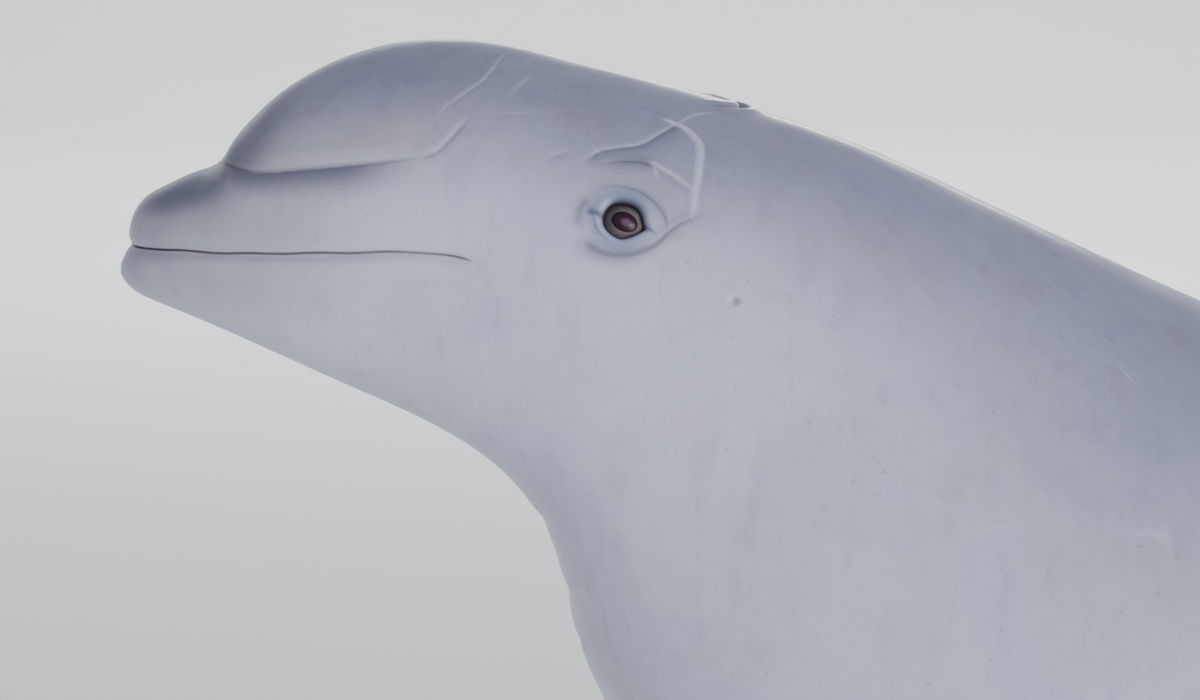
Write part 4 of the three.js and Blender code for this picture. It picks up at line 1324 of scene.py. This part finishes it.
def mottled(n, tone):
    """Faint clouds of grey, lilac and cream, pale streaks, grain, and small darker flecks."""
    layers = (
        (n.noise(7.0, 5.0, distortion=0.6), (0.35, 0.7), 0.5, (234, 238, 250)),
        (n.noise(13.0, 3.0), (0.42, 0.68), 0.6, (250, 244, 234)),
        (n.noise(34.0, 4.0), (0.5, 0.75), 0.5, (236, 234, 240)),
        (n.noise(1.0, 3.0, n.mapped(Scale=(70.0, 70.0, 9.0))), (0.5, 0.75), 0.5, (236, 232, 240)),
        (n.noise(150.0, 4.0), (0.4, 0.7), 0.35, (240, 240, 246)),
        (n.noise(240.0, 2.0), (0.69, 0.76), 0.35, (150, 146, 156)),
    )
    for noise, span, strength, tint in layers:
        tone = n.layer(tone, n.span(noise, *span), strength, colour(*tint), "MULTIPLY")
    return tone


def broken(n, pale):
    """Pale marks whose edges and strength vary: scars, and the painted highlights on the folds' edges and
    the cheek.
    """
    ragged = n.span(n.noise(330.0, 3.0), 0.3, 0.6, 0.75, 1.0)
    return n.math("MULTIPLY", pale, ragged)


def scratches(n):
    """Sparse fine scars, in two directions."""
    lines = None
    for tilt, seed in ((0.5, 3.0), (-0.9, 11.0)):
        place = n.mapped(Rotation=(0.2, tilt, seed))
        x = n.node("ShaderNodeSeparateXYZ", {"Vector": place}).outputs["X"]
        warp = n.math("MULTIPLY", n.noise(3.0, 2.0, place), 0.35)
        wave = n.math("PINGPONG", n.math("ADD", x, warp), 0.055)
        line = n.span(wave, 0.0, 0.0011, 1.0, 0.0)
        sparse = n.span(n.noise(11.0, 2.0, place), 0.6, 0.68)
        part = n.math("MULTIPLY", line, sparse)
        lines = part if lines is None else n.math("MAXIMUM", lines, part)
    return lines


def skin_bump(n):
    normal = n.bump(n.noise(22.0, 3.0), 0.2, 0.004)
    return n.bump(n.noise(420.0, 3.0), 0.1, 0.0006, normal)


def sclera(n, radius):
    """The grey of the eye outside the iris, faintly ringed."""
    rings = n.span(n.math("SINE", n.math("MULTIPLY", radius, 46.0)), -1.0, 1.0)
    tone = n.mix(rings, colour(92, 86, 92), colour(112, 106, 112))
    return n.mix(n.span(n.noise(420.0, 3.0), 0.3, 0.7), tone, colour(88, 82, 88))


def eye_material():
    n = Nodes("beluga_eye")
    x, y, _ = n.attribute("gaze")
    radius = n.math("SQRT", n.squares(x, y))
    iris = n.mix(n.noise(700.0, 4.0), colour(30, 12, 28), colour(56, 30, 50))
    # A painted soft reflection: a pale pinkish glow near the iris's middle
    off_middle = n.squares(n.math("SUBTRACT", x, 0.14), n.math("ADD", y, 0.02))
    tone = n.mix(n.span(off_middle, 0.0, 0.3, 0.55, 0.0), iris, colour(122, 92, 112))
    bands = (
        (0.7, 0.95, colour(16, 6, 14)), (0.96, 1.06, colour(114, 90, 97)),
        (1.1, 1.3, sclera(n, radius)), (1.5, 2.0, colour(44, 37, 43)),
    )
    for start, end, tint in bands:
        tone = n.mix(n.span(radius, start, end), tone, tint)
    # Painted shadow of the upper lid over the top of the eye
    tone = n.mix(n.span(y, 1.2, 2.1, 0.0, 0.7), tone, colour(40, 34, 40))
    n.base(Base_Color=tone, Roughness=0.4, IOR=1.38, Specular_IOR_Level=0.2)
    n.base(Coat_Weight=0.22, Coat_Roughness=0.2)
    return n.material


def base_material():
    n = Nodes("painted_board")
    grain = n.noise(9.0, 6.0, n.mapped(Scale=(1.0, 14.0, 14.0)), distortion=1.2)
    tone = n.mix(n.span(grain, 0.3, 0.7), colour(58, 61, 66), colour(70, 73, 78))
    dust = n.span(n.noise(5.0, 4.0), 0.5, 0.8)
    tone = n.layer(tone, dust, 0.2, colour(92, 95, 99))
    normal = n.bump(grain, 0.2, 0.0008)
    normal = n.bump(n.noise(700.0, 2.0), 0.1, 0.0003, normal)
    n.base(Base_Color=tone, Normal=normal, Roughness=n.span(grain, 0.2, 0.8, 0.38, 0.52))
    return n.material


def rod_material():
    n = Nodes("brushed_steel")
    brushed = n.noise(14.0, 5.0, n.mapped(Scale=(40.0, 40.0, 1.2)))
    tone = n.mix(n.span(brushed, 0.3, 0.7), colour(168, 170, 173), colour(196, 198, 200))
    smudge = n.span(n.noise(14.0, 4.0), 0.3, 0.7, 0.24, 0.38)
    n.base(Base_Color=tone, Metallic=1.0, Normal=n.bump(brushed, 0.08, 0.0004), Roughness=smudge)
    return n.material


def floor_material():
    n = Nodes("pale_floor")
    tone = n.mix(n.noise(0.8, 4.0), colour(238, 239, 240), colour(243, 244, 245))
    n.base(Base_Color=tone, Roughness=0.9, Specular_IOR_Level=0.2)
    return n.material


# Stage


def cove():
    """A flat round floor that curves up into a wall all round."""
    turn = np.linspace(0, np.pi / 2, COVE["steps"])
    flat = COVE["floor"] * np.array([1, 2, 3]) / 4
    curved = COVE["floor"] + COVE["curve"] * np.sin(turn)
    radius = np.concatenate([flat, curved, curved[-1:]])
    height = np.concatenate([np.zeros(3), COVE["curve"] * (1 - np.cos(turn)), [COVE["wall"]]])
    rings, number, after, quads = lathe(radius, height, COVE["sides"])
    points = np.concatenate([rings, [[0.0, 0.0, 0.0]]])
    made = mesh_object("floor", points, [quads[:, ::-1], cap(number[0], after[0], len(rings))])
    made.data.materials.append(floor_material())


def soft_light(name, place, aim, size, power, tint=(1, 1, 1), glossy=True):
    data = bpy.data.lights.new(name, "AREA")
    data.shape = "ELLIPSE"
    data.size, data.size_y = size
    data.energy = power
    data.color = tint
    light = bpy.data.objects.new(name, data)
    way = Vector(aim) - Vector(place)
    light.matrix_world = Matrix.Translation(place) @ way.to_track_quat("-Z", "Y").to_matrix().to_4x4()
    light.visible_glossy = glossy
    light.visible_camera = False
    bpy.context.scene.collection.objects.link(light)


def lights():
    soft_light("key", (3.6, -6.0, 1.3), (-0.6, 0.0, 1.3), (4.0, 4.0), 480, (1.0, 0.985, 1.0))
    soft_light("fill", (4.5, -6.5, 2.6), (1.0, 0.0, 0.8), (5.0, 5.0), 40, (0.95, 0.97, 1.0), glossy=False)
    soft_light("back", (0.2, 10.0, 2.4), (-0.5, 0.0, 1.6), (5.0, 0.35), 80, (1.0, 0.97, 0.92))
    soft_light("backdrop", (0.0, 11.0, 8.0), (0.0, 13.0, 0.0), (18.0, 8.0), 1500, glossy=False)
    world = bpy.data.worlds.new("studio")
    world.use_nodes = True
    background = world.node_tree.nodes["Background"]
    background.inputs["Color"].default_value = (0.73, 0.77, 0.85, 1)
    background.inputs["Strength"].default_value = 0.66
    bpy.context.scene.world = world


def camera():
    data = bpy.data.cameras.new("camera")
    data.lens = CAMERA["lens"]
    data.sensor_width = CAMERA["sensor"]
    data.clip_end = CAMERA["clip_end"]
    made = bpy.data.objects.new("camera", data)
    made.location = CAMERA["place"]
    made.rotation_euler = (np.radians(90 - CAMERA["down"]), 0, 0)
    bpy.context.scene.collection.objects.link(made)
    bpy.context.scene.camera = made


def dress():
    skin = whale_skin()
    skin.data.materials.append(skin_material())
    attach(skin, "root")
    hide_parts("head", "melon", "lower_jaw", "neck", "torso_front", "torso_rear", "tail_stock",
                "dorsal_ridge", "flipper_left", "flipper_right", "fluke_left", "fluke_right")
    glossy = eye_material()
    for side, name in ((1, "eye_right"), (-1, "eye_left")):
        eye = eyeball(side)
        eye.data.materials.append(glossy)
        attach(eye, "root")
        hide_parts(name)
    board, steel = base_material(), rod_material()
    for name, material in (("stand_base", board), ("stand_rod_front", steel), ("stand_rod_rear", steel)):
        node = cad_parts[name]
        node.data.materials.clear()
        node.data.materials.append(material)


dress()
cove()
lights()
camera()
